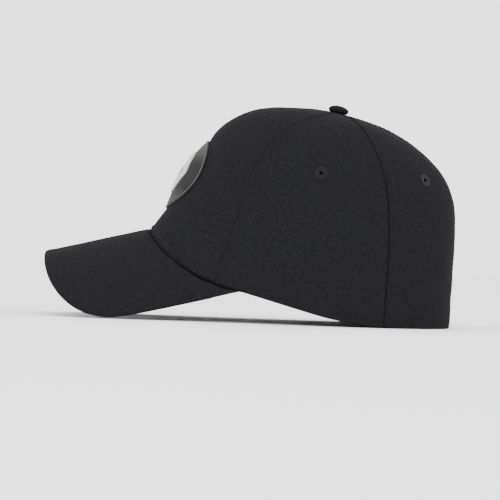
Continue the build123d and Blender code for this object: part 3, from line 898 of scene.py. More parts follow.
    def build(self) -> None:
        """Build the panels and their stitching."""
        spans = {
            "front_panel": (FRONT_SEAM.mirrored(), FRONT_SEAM),
            "left_side_panel": (FRONT_SEAM, REAR_SEAM),
            "right_side_panel": (REAR_SEAM.mirrored(), FRONT_SEAM.mirrored()),
            "left_rear_panel": (REAR_SEAM, BACK_SEAM),
            "right_rear_panel": (Seam(-180.0, ()), REAR_SEAM.mirrored()),
        }
        for name, (first, last) in spans.items():
            panel = self.panel(name, first, last)
            hole = name.replace("panel", "eyelet")
            if hole in frame["nodes"]:
                self.punch(panel, [hole])
            LOG.info("%s: %d faces", panel.name, len(panel.data.polygons))
        lines = [
            self.seam_line(seam, way * self.stitch_offset, 11.0, 6.0)
            for seam in self.seams()
            for way in seam.stitched_sides
        ]
        for way in (-1, 1):
            line = self.seam_line(Seam(0.0, ()), way * self.stitch_offset, 9.0, 0.0)
            lines.append(line[: int((self.dart_length - 12) / 1.2)])
        lines.append(self.peak_line(self.peak_stitch))
        Stitching("crown_top_stitching", self.thread).sew(lines, "cap")


# --------------------------------------------------------------------------------------
# Stitching and eyelets, by Geometry Nodes
# --------------------------------------------------------------------------------------


def capsule(name: str, length: float, radius: float, sides: int = 6) -> bpy.types.Object:
    """Short rounded thread along X, used as the pattern that a tree repeats.

    Args:
        name: Its name.
        length: Length in millimetres.
        radius: Radius in millimetres.
        sides: Sides of its section.

    Returns:
        The object, hidden from renders.
    """
    half = [(0.36, 0.9, -0.1), (0.5, 0.15, -0.6)]
    stations = [(-at, size, lift) for at, size, lift in half[::-1]] + [(0.0, 1.0, 0.12)] + half
    points = []
    for place, width, sink in stations:
        for number in range(sides):
            turn = 2 * math.pi * number / sides
            y, z = radius * width * math.cos(turn), radius * (width * math.sin(turn) * 0.8 + sink)
            points.append((place * length, y, z))
    faces = grid_faces(len(stations), sides, close_columns=True)
    faces += [list(range(sides))[::-1], [len(points) - sides + n for n in range(sides)]]
    mesh = bpy.data.meshes.new(name)
    mesh.from_pydata((np.array(points) * MM).tolist(), [], faces)
    mesh.polygons.foreach_set("use_smooth", [True] * len(faces))
    return bpy.data.objects.new(name, mesh)


def plain_result(carrier: bpy.types.Object, name: str) -> bpy.types.Object:
    """Turn a carrier's evaluated geometry into a plain mesh object and remove the carrier.

    Args:
        carrier: Object with a Geometry Nodes modifier.
        name: Name of the result.

    Returns:
        The plain piece.
    """
    evaluated = carrier.evaluated_get(bpy.context.evaluated_depsgraph_get())
    mesh = bpy.data.meshes.new_from_object(evaluated)
    carrier.modifiers.clear()
    bpy.data.objects.remove(carrier)
    mesh.name = name
    piece = bpy.data.objects.new(name, mesh)
    bpy.context.scene.collection.objects.link(piece)
    return piece


@dataclass
class Stitching:
    """Rows of sewn stitches along lines of cloth."""

    name: str
    thread: bpy.types.Material
    stitch_length: float = 2.4
    spacing: float = 3.2
    radius: float = 0.3

    def tree(self, pattern: bpy.types.Object) -> tuple[bpy.types.NodeTree, dict[str, str]]:
        """Build the tree that lays stitches along the carrier's edges.

        Args:
            pattern: One stitch.

        Returns:
            The tree, and each named input's identifier.
        """
        tree = bpy.data.node_groups.new(f"{self.name}_tree", "GeometryNodeTree")
        tree.interface.new_socket("Geometry", in_out="INPUT", socket_type="NodeSocketGeometry")
        sizes = {}
        for label in ("Spacing", "Seed"):
            kind = "NodeSocketFloat" if label == "Spacing" else "NodeSocketInt"
            sizes[label] = tree.interface.new_socket(label, in_out="INPUT", socket_type=kind).identifier
        tree.interface.new_socket("Geometry", in_out="OUTPUT", socket_type="NodeSocketGeometry")
        given = add_node(tree, "NodeGroupInput").outputs
        curve = add_node(tree, "GeometryNodeMeshToCurve", Mesh=given["Geometry"]).outputs["Curve"]
        points = add_node(
            tree, "GeometryNodeCurveToPoints", {"mode": "LENGTH"}, Curve=curve, Length=given["Spacing"]
        ).outputs
        up = add_node(tree, "GeometryNodeInputNamedAttribute", {"data_type": "FLOAT_VECTOR"}, Name="out")
        first = add_node(
            tree, "FunctionNodeAlignRotationToVector", {"axis": "X"}, Vector=points["Tangent"]
        ).outputs["Rotation"]
        turned = add_node(
            tree,
            "FunctionNodeAlignRotationToVector",
            {"axis": "Z", "pivot_axis": "X"},
            Rotation=first,
            Vector=up.outputs["Attribute"],
        ).outputs["Rotation"]
        size = add_node(
            tree, "FunctionNodeRandomValue", {"data_type": "FLOAT"}, i2=0.88, i3=1.08, Seed=given["Seed"]
        ).outputs[1]
        thread = add_node(tree, "GeometryNodeObjectInfo", Object=pattern).outputs["Geometry"]
        placed = add_node(
            tree,
            "GeometryNodeInstanceOnPoints",
            Points=points["Points"],
            Instance=thread,
            Rotation=turned,
            Scale=size,
        ).outputs["Instances"]
        real = add_node(tree, "GeometryNodeRealizeInstances", Geometry=placed).outputs["Geometry"]
        dressing = add_node(tree, "GeometryNodeSetMaterial", Geometry=real, Material=self.thread)
        dressed = dressing.outputs["Geometry"]
        add_node(tree, "NodeGroupOutput", Geometry=dressed)
        return tree, sizes

    def sew(
        self, lines: Sequence[Array], body: str, centre: Array | None = None
    ) -> bpy.types.Object:
        """Lay stitches along several lines.

        Args:
            lines: Points of each line, in millimetres.
            body: Body that the stitches ride on.
            centre: Point that the stitches face away from, or None for the crown's middle.

        Returns:
            The stitches, as one plain piece.
        """
        points, edges, outs = [], [], []
        middle = np.array([0.0, 20.0, 60.0]) if centre is None else centre
        for line in lines:
            first = len(points)
            points += line.tolist()
            outs += (line - middle).tolist()
            edges += [(first + k, first + k + 1) for k in range(len(line) - 1)]
        mesh = bpy.data.meshes.new(f"{self.name}_path")
        mesh.from_pydata((np.array(points) * MM).tolist(), edges, [])
        attribute = mesh.attributes.new("out", "FLOAT_VECTOR", "POINT")
        attribute.data.foreach_set("vector", np.array(outs, np.float32).ravel())
        carrier = bpy.data.objects.new(f"{self.name}_path", mesh)
        bpy.context.scene.collection.objects.link(carrier)
        tree, sizes = self.tree(capsule(f"{self.name}_stitch", self.stitch_length, self.radius))
        modifier = carrier.modifiers.new("stitches", "NODES")
        modifier.node_group = tree
        modifier[sizes["Spacing"]] = self.spacing * MM
        modifier[sizes["Seed"]] = SEED
        piece = plain_result(carrier, self.name)
        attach(piece, body)
        LOG.info("%s: %d faces", piece.name, len(piece.data.polygons))
        return piece


@dataclass
class Eyelet:
    """Embroidered vent eyelet: satin stitches over a padded ring."""

    surface: CrownSurface
    thread: bpy.types.Material
    outer: float = 4.8
    inner: float = 1.3
    height: float = 0.5
    threads: int = 66
    thread_radius: float = 0.26
    spokes: int = 9

    def ring_tree(self, pattern: bpy.types.Object) -> tuple[bpy.types.NodeTree, str]:
        """Build the tree that repeats one satin stitch round a ring.

        Args:
            pattern: One stitch, lying along X.

        Returns:
            The tree and the identifier of its count.
        """
        tree = bpy.data.node_groups.new("eyelet_tree", "GeometryNodeTree")
        tree.interface.new_socket("Geometry", in_out="INPUT", socket_type="NodeSocketGeometry")
        count = tree.interface.new_socket("Count", in_out="INPUT", socket_type="NodeSocketInt").identifier
        tree.interface.new_socket("Geometry", in_out="OUTPUT", socket_type="NodeSocketGeometry")
        given = add_node(tree, "NodeGroupInput").outputs
        ring = add_node(tree, "GeometryNodeMeshCircle", Vertices=given["Count"], Radius=0.001).outputs["Mesh"]
        place = add_node(tree, "GeometryNodeInputPosition").outputs["Position"]
        ways = {"axis": "X", "pivot_axis": "Z"}
        turn = add_node(tree, "FunctionNodeAlignRotationToVector", ways, Vector=place)
        thread = add_node(tree, "GeometryNodeObjectInfo", Object=pattern).outputs["Geometry"]
        placed = add_node(
            tree,
            "GeometryNodeInstanceOnPoints",
            Points=ring,
            Instance=thread,
            Rotation=turn.outputs["Rotation"],
        ).outputs["Instances"]
        real = add_node(tree, "GeometryNodeRealizeInstances", Geometry=placed).outputs["Geometry"]
        dressing = add_node(tree, "GeometryNodeSetMaterial", Geometry=real, Material=self.thread)
        dressed = dressing.outputs["Geometry"]
        add_node(tree, "NodeGroupOutput", Geometry=dressed)
        return tree, count

    def stitch(self) -> bpy.types.Object:
        """One satin stitch, arched from the hole to the ring's outside."""
        points, sides = [], 6
        for number in range(self.spokes):
            share = number / (self.spokes - 1)
            reach = self.inner - 1 + (self.outer - self.inner) * share
            arch = self.height * math.sin(math.pi * (0.06 + 0.88 * share)) ** 0.6 - 0.25
            width = self.thread_radius * (0.55 + 0.45 * share)
            for side in range(sides):
                turn = 2 * math.pi * side / sides
                points.append((reach, width * math.cos(turn), arch + width * math.sin(turn) * 0.8))
        faces = grid_faces(self.spokes, sides, close_columns=True)
        faces += [list(range(sides))[::-1], [len(points) - sides + n for n in range(sides)]]
        mesh = bpy.data.meshes.new("eyelet_stitch")
        mesh.from_pydata((np.array(points) * MM).tolist(), [], faces)
        mesh.polygons.foreach_set("use_smooth", [True] * len(faces))
        return bpy.data.objects.new("eyelet_stitch", mesh)

    def base(self, place: Matrix, name: str) -> bpy.types.Object:
        """The padded ring under the stitches."""
        ring = []
        sides, steps = 10, 48
        for number in range(steps):
            turn = 2 * math.pi * number / steps
            for side in range(sides):
                tip = 2 * math.pi * side / sides
                reach = (self.outer + self.inner) / 2 + (self.outer - self.inner) / 2 * 0.93 * math.cos(tip)
                lift = 0.55 * math.sin(tip) - 0.35
                point = Vector((reach * math.cos(turn), reach * math.sin(turn), lift)) * MM
                ring.append(tuple(place @ point / MM))
        return make_piece(name, np.array(ring), grid_faces(steps, sides, True, True), self.thread)

    def build(self) -> None:
        """Build every eyelet on its panel."""
        tree, count = self.ring_tree(self.stitch())
        for node in ("left_side_eyelet", "right_side_eyelet", "left_rear_eyelet", "right_rear_eyelet"):
            low, high = (np.array(c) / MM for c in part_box(node))
            local = self.surface.local((low + high) / 2)
            angle = math.degrees(math.atan2(local[0], -local[1]))
            normal = self.surface.place(self.surface.normal(np.array([angle]), np.array([-local[2]]))[0])
            out = Vector(normal - self.surface.origin).normalized()
            turn = out.to_track_quat("Z", "Y").to_matrix().to_4x4()
            place = Matrix.Translation(Vector((low + high) / 2 * MM) + out * 0.45 * MM) @ turn
            mesh = bpy.data.meshes.new(f"{node}_carrier")
            carrier = bpy.data.objects.new(f"{node}_carrier", mesh)
            bpy.context.scene.collection.objects.link(carrier)
            modifier = carrier.modifiers.new("threads", "NODES")
            modifier.node_group = tree
            modifier[count] = self.threads
            piece = plain_result(carrier, f"{node}_threads")
            piece.data.transform(place)
            ring = self.base(place, f"{node}_ring")
            for part in (piece, ring):
                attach(part, "cap")
            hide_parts(node)
            LOG.info("%s: %d faces", piece.name, len(piece.data.polygons))


# --------------------------------------------------------------------------------------
# Peak and button
# --------------------------------------------------------------------------------------


def dress(piece: bpy.types.Object, body: str, slot: str, *nodes: str) -> bpy.types.Object:
    """Attach a piece to its body and hide the CAD nodes that it stands for.

    Args:
        piece: The piece.
        body: The CAD body that it rides on.
        slot: The record's material slot; not used.
        nodes: CAD nodes that it stands for.

    Returns:
        The piece.
    """
    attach(piece, body)
    if nodes:
        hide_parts(*nodes)
    LOG.info("%s: %d faces", piece.name, len(piece.data.polygons))
    return piece


@dataclass
class Peak:
    """The covered peak: a stiff board between two layers of twill, with a rolled edge."""

    surface: CrownSurface
    cloth: bpy.types.Material
    slope: float = 24.1
    arch_radius: float = 84.0
    thickness: float = 3.8
    length: float = 74.5
    half_width: float = 78.7
    corner: float = 5.0
    widest: float = 10.0
    fan_centre: float = 60.0
    tuck: float = 0.9
    seam_groove: float = 0.6
    columns: int = 260
    rows: int = 76

    def local(self, across: Array, back: Array, drop: Array) -> Array:
        """Crown-frame points of the peak.

        Args:
            across: Distance across, seen from above the peak's top face.
            back: Distance backwards along the crest from the peak's root.
            drop: Depth below the top face, square to it.

        Returns:
            Points in millimetres.
        """
        turn = np.arcsin(np.clip(across / self.arch_radius, -1, 1))
        x = (self.arch_radius - drop) * np.sin(turn)
        height = (self.arch_radius - drop) * np.cos(turn) - self.arch_radius
        lean = math.radians(self.slope)
        root = -float(self.surface.reach(self.surface.front, np.array(self.surface.peak_depth)))
        y = root + back * math.cos(lean) - height * math.sin(lean)
        z = -self.surface.peak_depth + back * math.sin(lean) + height * math.cos(lean)
        return np.stack(np.broadcast_arrays(x, y, z), -1)

    def outline(self, fan: Array) -> Array:
        """Distance from the fan's centre to the peak's edge.

        Args:
            fan: Directions, in radians from straight ahead.

        Returns:
            The distances, in millimetres.
        """
        low, high = np.zeros(fan.shape), np.full(fan.shape, 200.0)
        for _ in range(40):
            middle = (low + high) / 2
            across, ahead = middle * np.sin(fan), self.widest - self.fan_centre + middle * np.cos(fan)
            shape = np.abs(across / self.half_width) ** self.corner
            shape += np.maximum(ahead / (self.length + self.widest), 0) ** self.corner
            low, high = np.where(shape < 1, middle, low), np.where(shape < 1, high, middle)
        return low

    def join(self, fan: Array, drop: Array | float) -> Array:
        """Distance from the fan's centre to the crown's face, at a depth in the peak."""
        low, high = np.full(fan.shape, 20.0), np.full(fan.shape, 83.5)
        for _ in range(36):
            middle = (low + high) / 2
            point = self.local(middle * np.sin(fan), self.fan_centre - middle * np.cos(fan), drop + 0 * fan)
            angle = np.degrees(np.arctan2(point[..., 0], -point[..., 1]))
            inside = np.hypot(point[..., 0], point[..., 1]) < self.surface.radius(angle, -point[..., 2])
            low, high = np.where(inside, middle, low), np.where(inside, high, middle)
        return low

    def fan(self) -> Array:
        """Directions of the columns, up to where the top edge meets the crown on each side."""
        trial = np.radians(np.linspace(60, 115, 1601))
        clear = self.outline(trial) - self.join(trial, 0.0) > -0.3
        last = trial[np.argmin(clear)] if not clear.all() else trial[-1]
        return last * np.sin(np.linspace(-math.pi / 2, math.pi / 2, self.columns))

    def depth_left(self, fan: Array, edge: Array) -> Array:
        """How much of the peak's thickness is still outside the crown at its edge.

        Args:
            fan: Directions of the columns.
            edge: Distance to the edge in each.

        Returns:
            Thickness in millimetres.
        """
        low, high = np.zeros(fan.shape), np.full(fan.shape, self.thickness)
        whole = self.join(fan, self.thickness) < edge + self.tuck / 3
        for _ in range(24):
            middle = (low + high) / 2
            shown = self.join(fan, middle) < edge + self.tuck / 3
            low, high = np.where(shown, middle, low), np.where(shown, high, middle)
        return np.where(whole, self.thickness, np.maximum(low, 0.25))

    def seam(self) -> tuple[Array, Array]:
        """Angle and depth on the crown of the line where the peak's top face meets it."""
        fan = self.fan()
        reach = self.join(fan, 0.0)
        point = self.local(reach * np.sin(fan), self.fan_centre - reach * np.cos(fan), 0 * fan)
        return np.degrees(np.arctan2(point[:, 0], -point[:, 1])), -point[:, 2]

    def build(self) -> bpy.types.Object:
        """Build the cloth skin of the peak.

        Returns:
            The skin.
        """
        fan = self.fan()
        edge = self.outline(fan)
        thickness = self.depth_left(fan, edge)
        half = thickness / 2
        share = np.linspace(0, 1, self.rows)[:, None] ** 0.85
        levels = []
        for drop, order in ((0 * half, 1), (thickness, -1)):
            inner = self.join(fan, drop) - self.tuck
            reach = inner + (np.maximum(edge - half, inner + 0.02) - inner) * share
            levels.append((reach[::order], drop + 0 * reach))
        turns = np.linspace(math.pi / 2, -math.pi / 2, 11)[1:-1, None]
        rim_reach = edge - half + half * np.cos(turns)
        rim_drop = half - half * np.sin(turns)
        reach = np.concatenate((levels[0][0], rim_reach, levels[1][0]))
        drop = np.concatenate((levels[0][1], rim_drop, levels[1][1]))
        directions = np.broadcast_to(fan, reach.shape)
        wall = self.join(directions, drop)
        from_join = np.maximum(reach - wall, 0)
        across, back = reach * np.sin(directions), self.fan_centre - reach * np.cos(directions)
        flat = self.local(across, back, drop)
        from_edge = np.abs(edge - reach)
        room = np.clip((edge - wall) / 6, 0, 1)
        lift = 0.16 * wander(flat, 34.0, SEED + 2) + 0.05 * wander(flat, 9.0, SEED + 3)
        lift = lift * np.clip(from_join / 6, 0, 1) * room
        lift = lift + (0.2 * bump(from_edge, 4.2, 2.0) - 0.1 * bump(from_edge, 7.6, 1.4)) * room
        lift = lift - self.seam_groove * bump(from_join, 0.0, 1.0) * (drop < half)
        way = np.where(drop < half, -1.0, 1.0)
        points = self.surface.place(self.local(across, back, drop + way * lift))
        count = len(fan)
        faces = grid_faces(len(reach), count, close_rows=True)
        faces += end_caps(len(reach), count)
        uv = np.stack((np.arcsin(np.clip(across / self.arch_radius, -1, 1)) * self.arch_radius, back), -1)
        piece = make_piece("peak_cloth", points.reshape(-1, 3), faces, self.cloth, uv.reshape(-1, 2))
        # Painted shade along the peak's join with the crown, for the cloth's finish to darken.
        paint(piece, "seam_shade", 0.75 * bump(from_join, 0.0, 0.45) * (drop < half))
        face_outwards(piece)
        return dress(piece, "cap", "cotton_twill", "peak_top_cover", "peak_under_cover")


@dataclass
class TopButton:
    """The cloth-covered button at the crown's top."""

    surface: CrownSurface
    cloth: bpy.types.Material
    steps: int = 72
    rings: int = 30
    lip: float = 1.6
    pleats: int = 11
    waist: float = 0.46

    def build(self) -> bpy.types.Object:
        """Build the button over its fitted solid, with cloth gathered round its edge.

        Returns:
            The button.
        """
        low, high = (np.array(c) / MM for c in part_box("top_button"))
        radius = (high[0] - low[0]) / 2
        frame_points = np.array([v.co for v in frame["nodes"]["top_button"].data.vertices]) / MM
        local = self.surface.local(frame_points)
        base, top = local[:, 2].min(), local[:, 2].max()
        height = top - base
        rows = []
        for ring in range(self.rings):
            share = ring / (self.rings - 1)
            turn = share * math.pi * 0.62
            reach = radius * math.sin(turn) ** 0.92 if ring else 0.05
            rise = 0.54 if turn < math.pi / 2 else 0.62
            z = base + height * (self.waist + rise * math.cos(turn))
            rows.append((min(reach, radius), max(z, base + 0.3)))
        rows.append((radius * 0.72, base + 0.15))
        rows.append((0.05, base + 0.15))
        points, uv = [], []
        for row, (reach, z) in enumerate(rows):
            for step in range(self.steps):
                turn = 2 * math.pi * step / self.steps
                pleat = math.sin(self.pleats * turn + 1.7 * math.sin(2 * turn))
                gather = 0.16 * (reach / radius) ** 6 * pleat
                wave = 0.1 * math.sin(3 * turn + 0.6 * reach) * (reach / radius)
                out = reach - abs(gather) * 0.8
                points.append((out * math.sin(turn), -out * math.cos(turn), z + wave * 0.5))
                uv.append((reach * math.sin(turn) * 1.2, reach * math.cos(turn) * 1.2 - row * 0.02))
        count = self.steps
        faces = grid_faces(len(rows), count, close_columns=True)
        faces += [list(range(count)), list(range(len(points) - count, len(points)))[::-1]]
        placed = self.surface.place(np.array(points))
        piece = make_piece("top_button_cloth", placed, faces, self.cloth, np.array(uv))
        face_outwards(piece)
        return dress(piece, "cap", "cotton_twill", "top_button")


# --------------------------------------------------------------------------------------
# Badge
# --------------------------------------------------------------------------------------


@dataclass
class Badge:
    """Oval soft badge with a raised rim, a groove inside it and a six-sided emblem."""

    surface: CrownSurface
    face: bpy.types.Material
    edge: bpy.types.Material
    emblem: bpy.types.Material
    centre_depth: float = 63.5
    width: float = 68.0
    height: float = 55.0
    thickness: float = 1.7
    dome: float = 3.6
    rim_width: float = 0.9
    groove_width: float = 0.9
    groove_depth: float = 0.5
    emblem_width: float = 38.0
    emblem_corner: float = 5.0
    emblem_thickness: float = 1.3
    slot_length: float = 15.0
    slot_width: float = 3.8
    steps: int = 180

    def axes(self) -> tuple[Array, Array, Array, Array]:
        """Origin, right, up and outward axes of the plane that touches the crown at the badge's centre."""
        centre = self.surface.bare(np.array(0.0), np.array(self.centre_depth))
        sides, depths = np.array([0.5, -0.5, 0.0, 0.0]), np.array([0, 0, -0.5, 0.5])
        near = self.surface.bare(sides, self.centre_depth + depths)
        right = near[0] - near[1]
        up = near[2] - near[3]
        right, up = right / np.linalg.norm(right), up / np.linalg.norm(up)
        return centre, right, up, np.cross(right, up)

    def onto(self, across: Array, along: Array, lift: Array) -> Array:
        """Project points of the touching plane onto the crown.

        Args:
            across: Distance across the plane.
            along: Distance up the plane.
            lift: Height over the crown.

        Returns:
            Points in the shared frame, in millimetres.
        """
        centre, right, up, out = self.axes()
        start = centre + across[..., None] * right + along[..., None] * up
        low, high = np.full(across.shape, -45.0), np.full(across.shape, 6.0)
        for _ in range(36):
            middle = (low + high) / 2
            point = start + middle[..., None] * out
            angle = np.degrees(np.arctan2(point[..., 0], -point[..., 1]))
            inside = np.hypot(point[..., 0], point[..., 1]) < self.surface.radius(angle, -point[..., 2])
            low, high = np.where(inside, middle, low), np.where(inside, high, middle)
        point = start + low[..., None] * out
        angle = np.degrees(np.arctan2(point[..., 0], -point[..., 1]))
        normal = self.surface.normal(angle, -point[..., 2])
        round_share = np.hypot(across / (self.width / 2), along / (self.height / 2))
        swell = self.dome * np.clip(1 - (round_share / 0.93) ** 2, 0, 1)
        swell = swell * (lift > self.thickness * 0.7)
        return self.surface.place(point + normal * (lift + swell)[..., None])

    def profile(self) -> list[tuple[float, float]]:
        """Distance in from the badge's edge and height, from its foot over the rim to its face."""
        t, rim, groove = self.thickness, self.rim_width, self.groove_width
        return [
            (0.25, -0.35),
            (0.0, 0.2),
            (0.0, t * 0.55),
            (0.08, t * 0.8),
            (0.35, t * 0.96),
            (rim * 0.5, t),
            (rim - 0.3, t * 0.97),
            (rim - 0.05, t * 0.85),
            (rim + 0.1, t - self.groove_depth * 0.85),
            (rim + groove * 0.5, t - self.groove_depth),
            (rim + groove - 0.15, t - self.groove_depth * 0.8),
            (rim + groove + 0.1, t * 0.86),
            (rim + groove + 0.4, t * 0.93),
            (rim + groove + 1.6, t * 0.95),
            (rim + groove + 4.0, t * 0.95),
        ]

    def plate(self) -> bpy.types.Object:
        """The badge itself."""
        turns = np.linspace(0, 2 * math.pi, self.steps, endpoint=False)
        rows, heights = [], []
        for inset, height in self.profile():
            rows.append(((self.width / 2 - inset) * np.cos(turns), (self.height / 2 - inset) * np.sin(turns)))
            heights.append(height)
        last_x, last_y = rows[-1]
        for share in (0.9, 0.8, 0.7, 0.6, 0.5, 0.4, 0.3, 0.2, 0.1, 0.03):
            rows.append((last_x * share, last_y * share))
            heights.append(self.thickness * 0.95)
        across = np.array([r[0] for r in rows])
        along = np.array([r[1] for r in rows])
        lift = np.broadcast_to(np.array(heights)[:, None], across.shape)
        points = self.onto(across, along, lift)
        back = self.onto(across[0] * 0.98, along[0] * 0.98, np.full(across[0].shape, -0.6))
        points = np.concatenate((back[None], points)).reshape(-1, 3)
        faces = grid_faces(len(rows) + 1, self.steps, close_columns=True)
        faces += [list(range(self.steps)), list(range(len(points) - self.steps, len(points)))[::-1]]
        piece = make_piece("badge_plate", points, faces, self.face)
        piece.data.materials.append(self.edge)
        index = np.zeros(len(piece.data.polygons), np.int32)
        index[3 * self.steps : 9 * self.steps] = 1
        piece.data.polygons.foreach_set("material_index", index)
        face_outwards(piece)
        # Height across the badge, which its face's finish turns into a painted highlight towards its top and
        # bottom.
        paint(piece, "badge_height", np.concatenate((along[:1], along)) / (self.height / 2))
        return dress(piece, "cap", "badge_rubber", "front_badge")

    def hexagon(self, grow: float, steps: int) -> tuple[Array, Array]:
        """Rounded hexagon, drawn in or out.

        Args:
            grow: Distance outwards from the emblem's real outline.
            steps: Number of points.

        Returns:
            Distances across and up.
        """
        turns = np.linspace(0, 2 * math.pi, steps, endpoint=False)
        core = self.emblem_width / 2 * math.cos(math.pi / 6) - self.emblem_corner
        folded = turns % (math.pi / 3) - math.pi / 6
        low, high = np.zeros(turns.shape), np.full(turns.shape, self.emblem_width)
        for _ in range(40):
            middle = (low + high) / 2
            beyond = np.maximum(middle * np.cos(folded) - core, 0)
            beside = np.maximum(np.abs(middle * np.sin(folded)) - core * math.tan(math.pi / 6), 0)
            within = np.hypot(beyond, beside) < self.emblem_corner + grow
            low, high = np.where(within, middle, low), np.where(within, high, middle)
        return low * np.cos(turns), low * np.sin(turns)

    def slot_line(self, grow: float, steps: int) -> tuple[Array, Array]:
        """Outline of the emblem's slot, drawn out by a distance, point for point with the hexagon."""
        turns = np.linspace(0, 2 * math.pi, steps, endpoint=False)
        straight, radius = (self.slot_length - self.slot_width) / 2, self.slot_width / 2 + grow
        low, high = np.zeros(turns.shape), np.full(turns.shape, self.slot_length)
        for _ in range(40):
            middle = (low + high) / 2
            beyond = np.maximum(np.abs(middle * np.cos(turns)) - straight, 0)
            within = np.hypot(beyond, middle * np.sin(turns)) < radius
            low, high = np.where(within, middle, low), np.where(within, high, middle)
        return low * np.cos(turns), low * np.sin(turns)

    def emblem_ring(self, steps: int = 144) -> bpy.types.Object:
        """The emblem: a domed six-sided ring round a slot."""
        rows = []
        base = self.thickness * 0.9
        top = base + self.emblem_thickness
        outer = [(0.0, base - 0.2), (0.0, top - 0.5), (-0.16, top - 0.2), (-0.5, top)]
        for grow, height in (*outer, (-2.6, top + 0.3), (-5.5, top + 0.45)):
            rows.append((*self.hexagon(grow, steps), height))
        wide, narrow = self.hexagon(-5.5, steps), self.slot_line(1.0, steps)
        for share in (0.25, 0.5, 0.75):
            across, along = (w + (n - w) * share for w, n in zip(wide, narrow))
            rows.append((across, along, top + 0.45))
        slot = [(1.0, top + 0.42), (0.3, top + 0.3), (0.08, top), (0.0, top - 0.35), (0.0, base - 0.2)]
        for grow, height in slot:
            rows.append((*self.slot_line(grow, steps), height))
        across = np.array([r[0] for r in rows])
        along = np.array([r[1] for r in rows])
        lift = np.array([np.full(steps, r[2]) for r in rows])
        points = self.onto(across, along, lift).reshape(-1, 3)
        faces = grid_faces(len(rows), steps, close_rows=True, close_columns=True)
        piece = make_piece("badge_emblem_ring", points, faces, self.emblem)
        face_outwards(piece)
        return dress(piece, "cap", "emblem_silver", "badge_emblem")

    def build(self) -> None:
        """Build the badge and its emblem."""
        self.plate()
        self.emblem_ring()


# --------------------------------------------------------------------------------------
# Inside of the cap: tapes, sweatband, size strap, label
# --------------------------------------------------------------------------------------


@dataclass
class Strip:
    """A flat strip that runs round inside the rim, with rounded edges."""

    surface: CrownSurface
    name: str
    outer_inset: float
    thickness: float
    rise: float
    width: float
    start: float
    end: float
    edge_round: float = 0.45
    steps: float = 1.6

    def build(self, material: bpy.types.Material, features: Sequence[float] = ()) -> bpy.types.Object:
        """Sweep the strip's section round the crown.

        Args:
            material: Its finish.
            features: Rises at which the cloth is drawn in by a stitch row.

        Returns:
            The strip.
        """
        count = max(8, int(abs(self.end - self.start) * 1.45 / self.steps))
        angles = np.linspace(self.start, self.end, count)
        section = self._section(features)
        rim = self.surface.rim(angles)
        rows = []
        for inset, rise in section:
            depth = rim - rise
            rows.append(self.surface.point(angles, depth, -inset))
        points = np.array(rows)
        around = np.concatenate(([0], np.cumsum(np.linalg.norm(np.diff(points[0], axis=0), axis=-1))))
        uv = np.stack(np.broadcast_arrays(around[None, :], np.array([r for _, r in section])[:, None]), -1)
        faces = grid_faces(len(section), count, close_rows=True)
        faces += end_caps(len(section), count)
        piece = make_piece(self.name, points.reshape(-1, 3), faces, material, uv.reshape(-1, 2))
        face_outwards(piece)
        return piece

    def _section(self, features: Sequence[float]) -> list[tuple[float, float]]:
        """Outline of the strip's cross-section, as inset and rise."""
        outer, inner = self.outer_inset, self.outer_inset + self.thickness
        low, high = self.rise, self.rise + self.width
        cut = min(self.edge_round, self.thickness * 0.48)
        inner_side = []
        pull = 0.3 * min(self.thickness, 1.5)
        for rise in np.linspace(low + cut, high - cut, max(6, int(self.width))):
            drawn = sum(pull * math.exp(-(((rise - low - row) / 0.7) ** 2)) for row in features)
            inner_side.append((inner - drawn, float(rise)))
        outline = [(outer, high - cut), (outer, low + cut)]
        outline += [(outer + cut * 0.3, low + cut * 0.3), (outer + cut, low)]
        outline += [(inner - cut, low), (inner - cut * 0.3, low + cut * 0.3)]
        outline += inner_side
        outline += [(inner - cut * 0.3, high - cut * 0.3), (inner - cut, high), (outer + cut, high)]
        outline += [(outer + cut * 0.3, high - cut * 0.3)]
        return outline


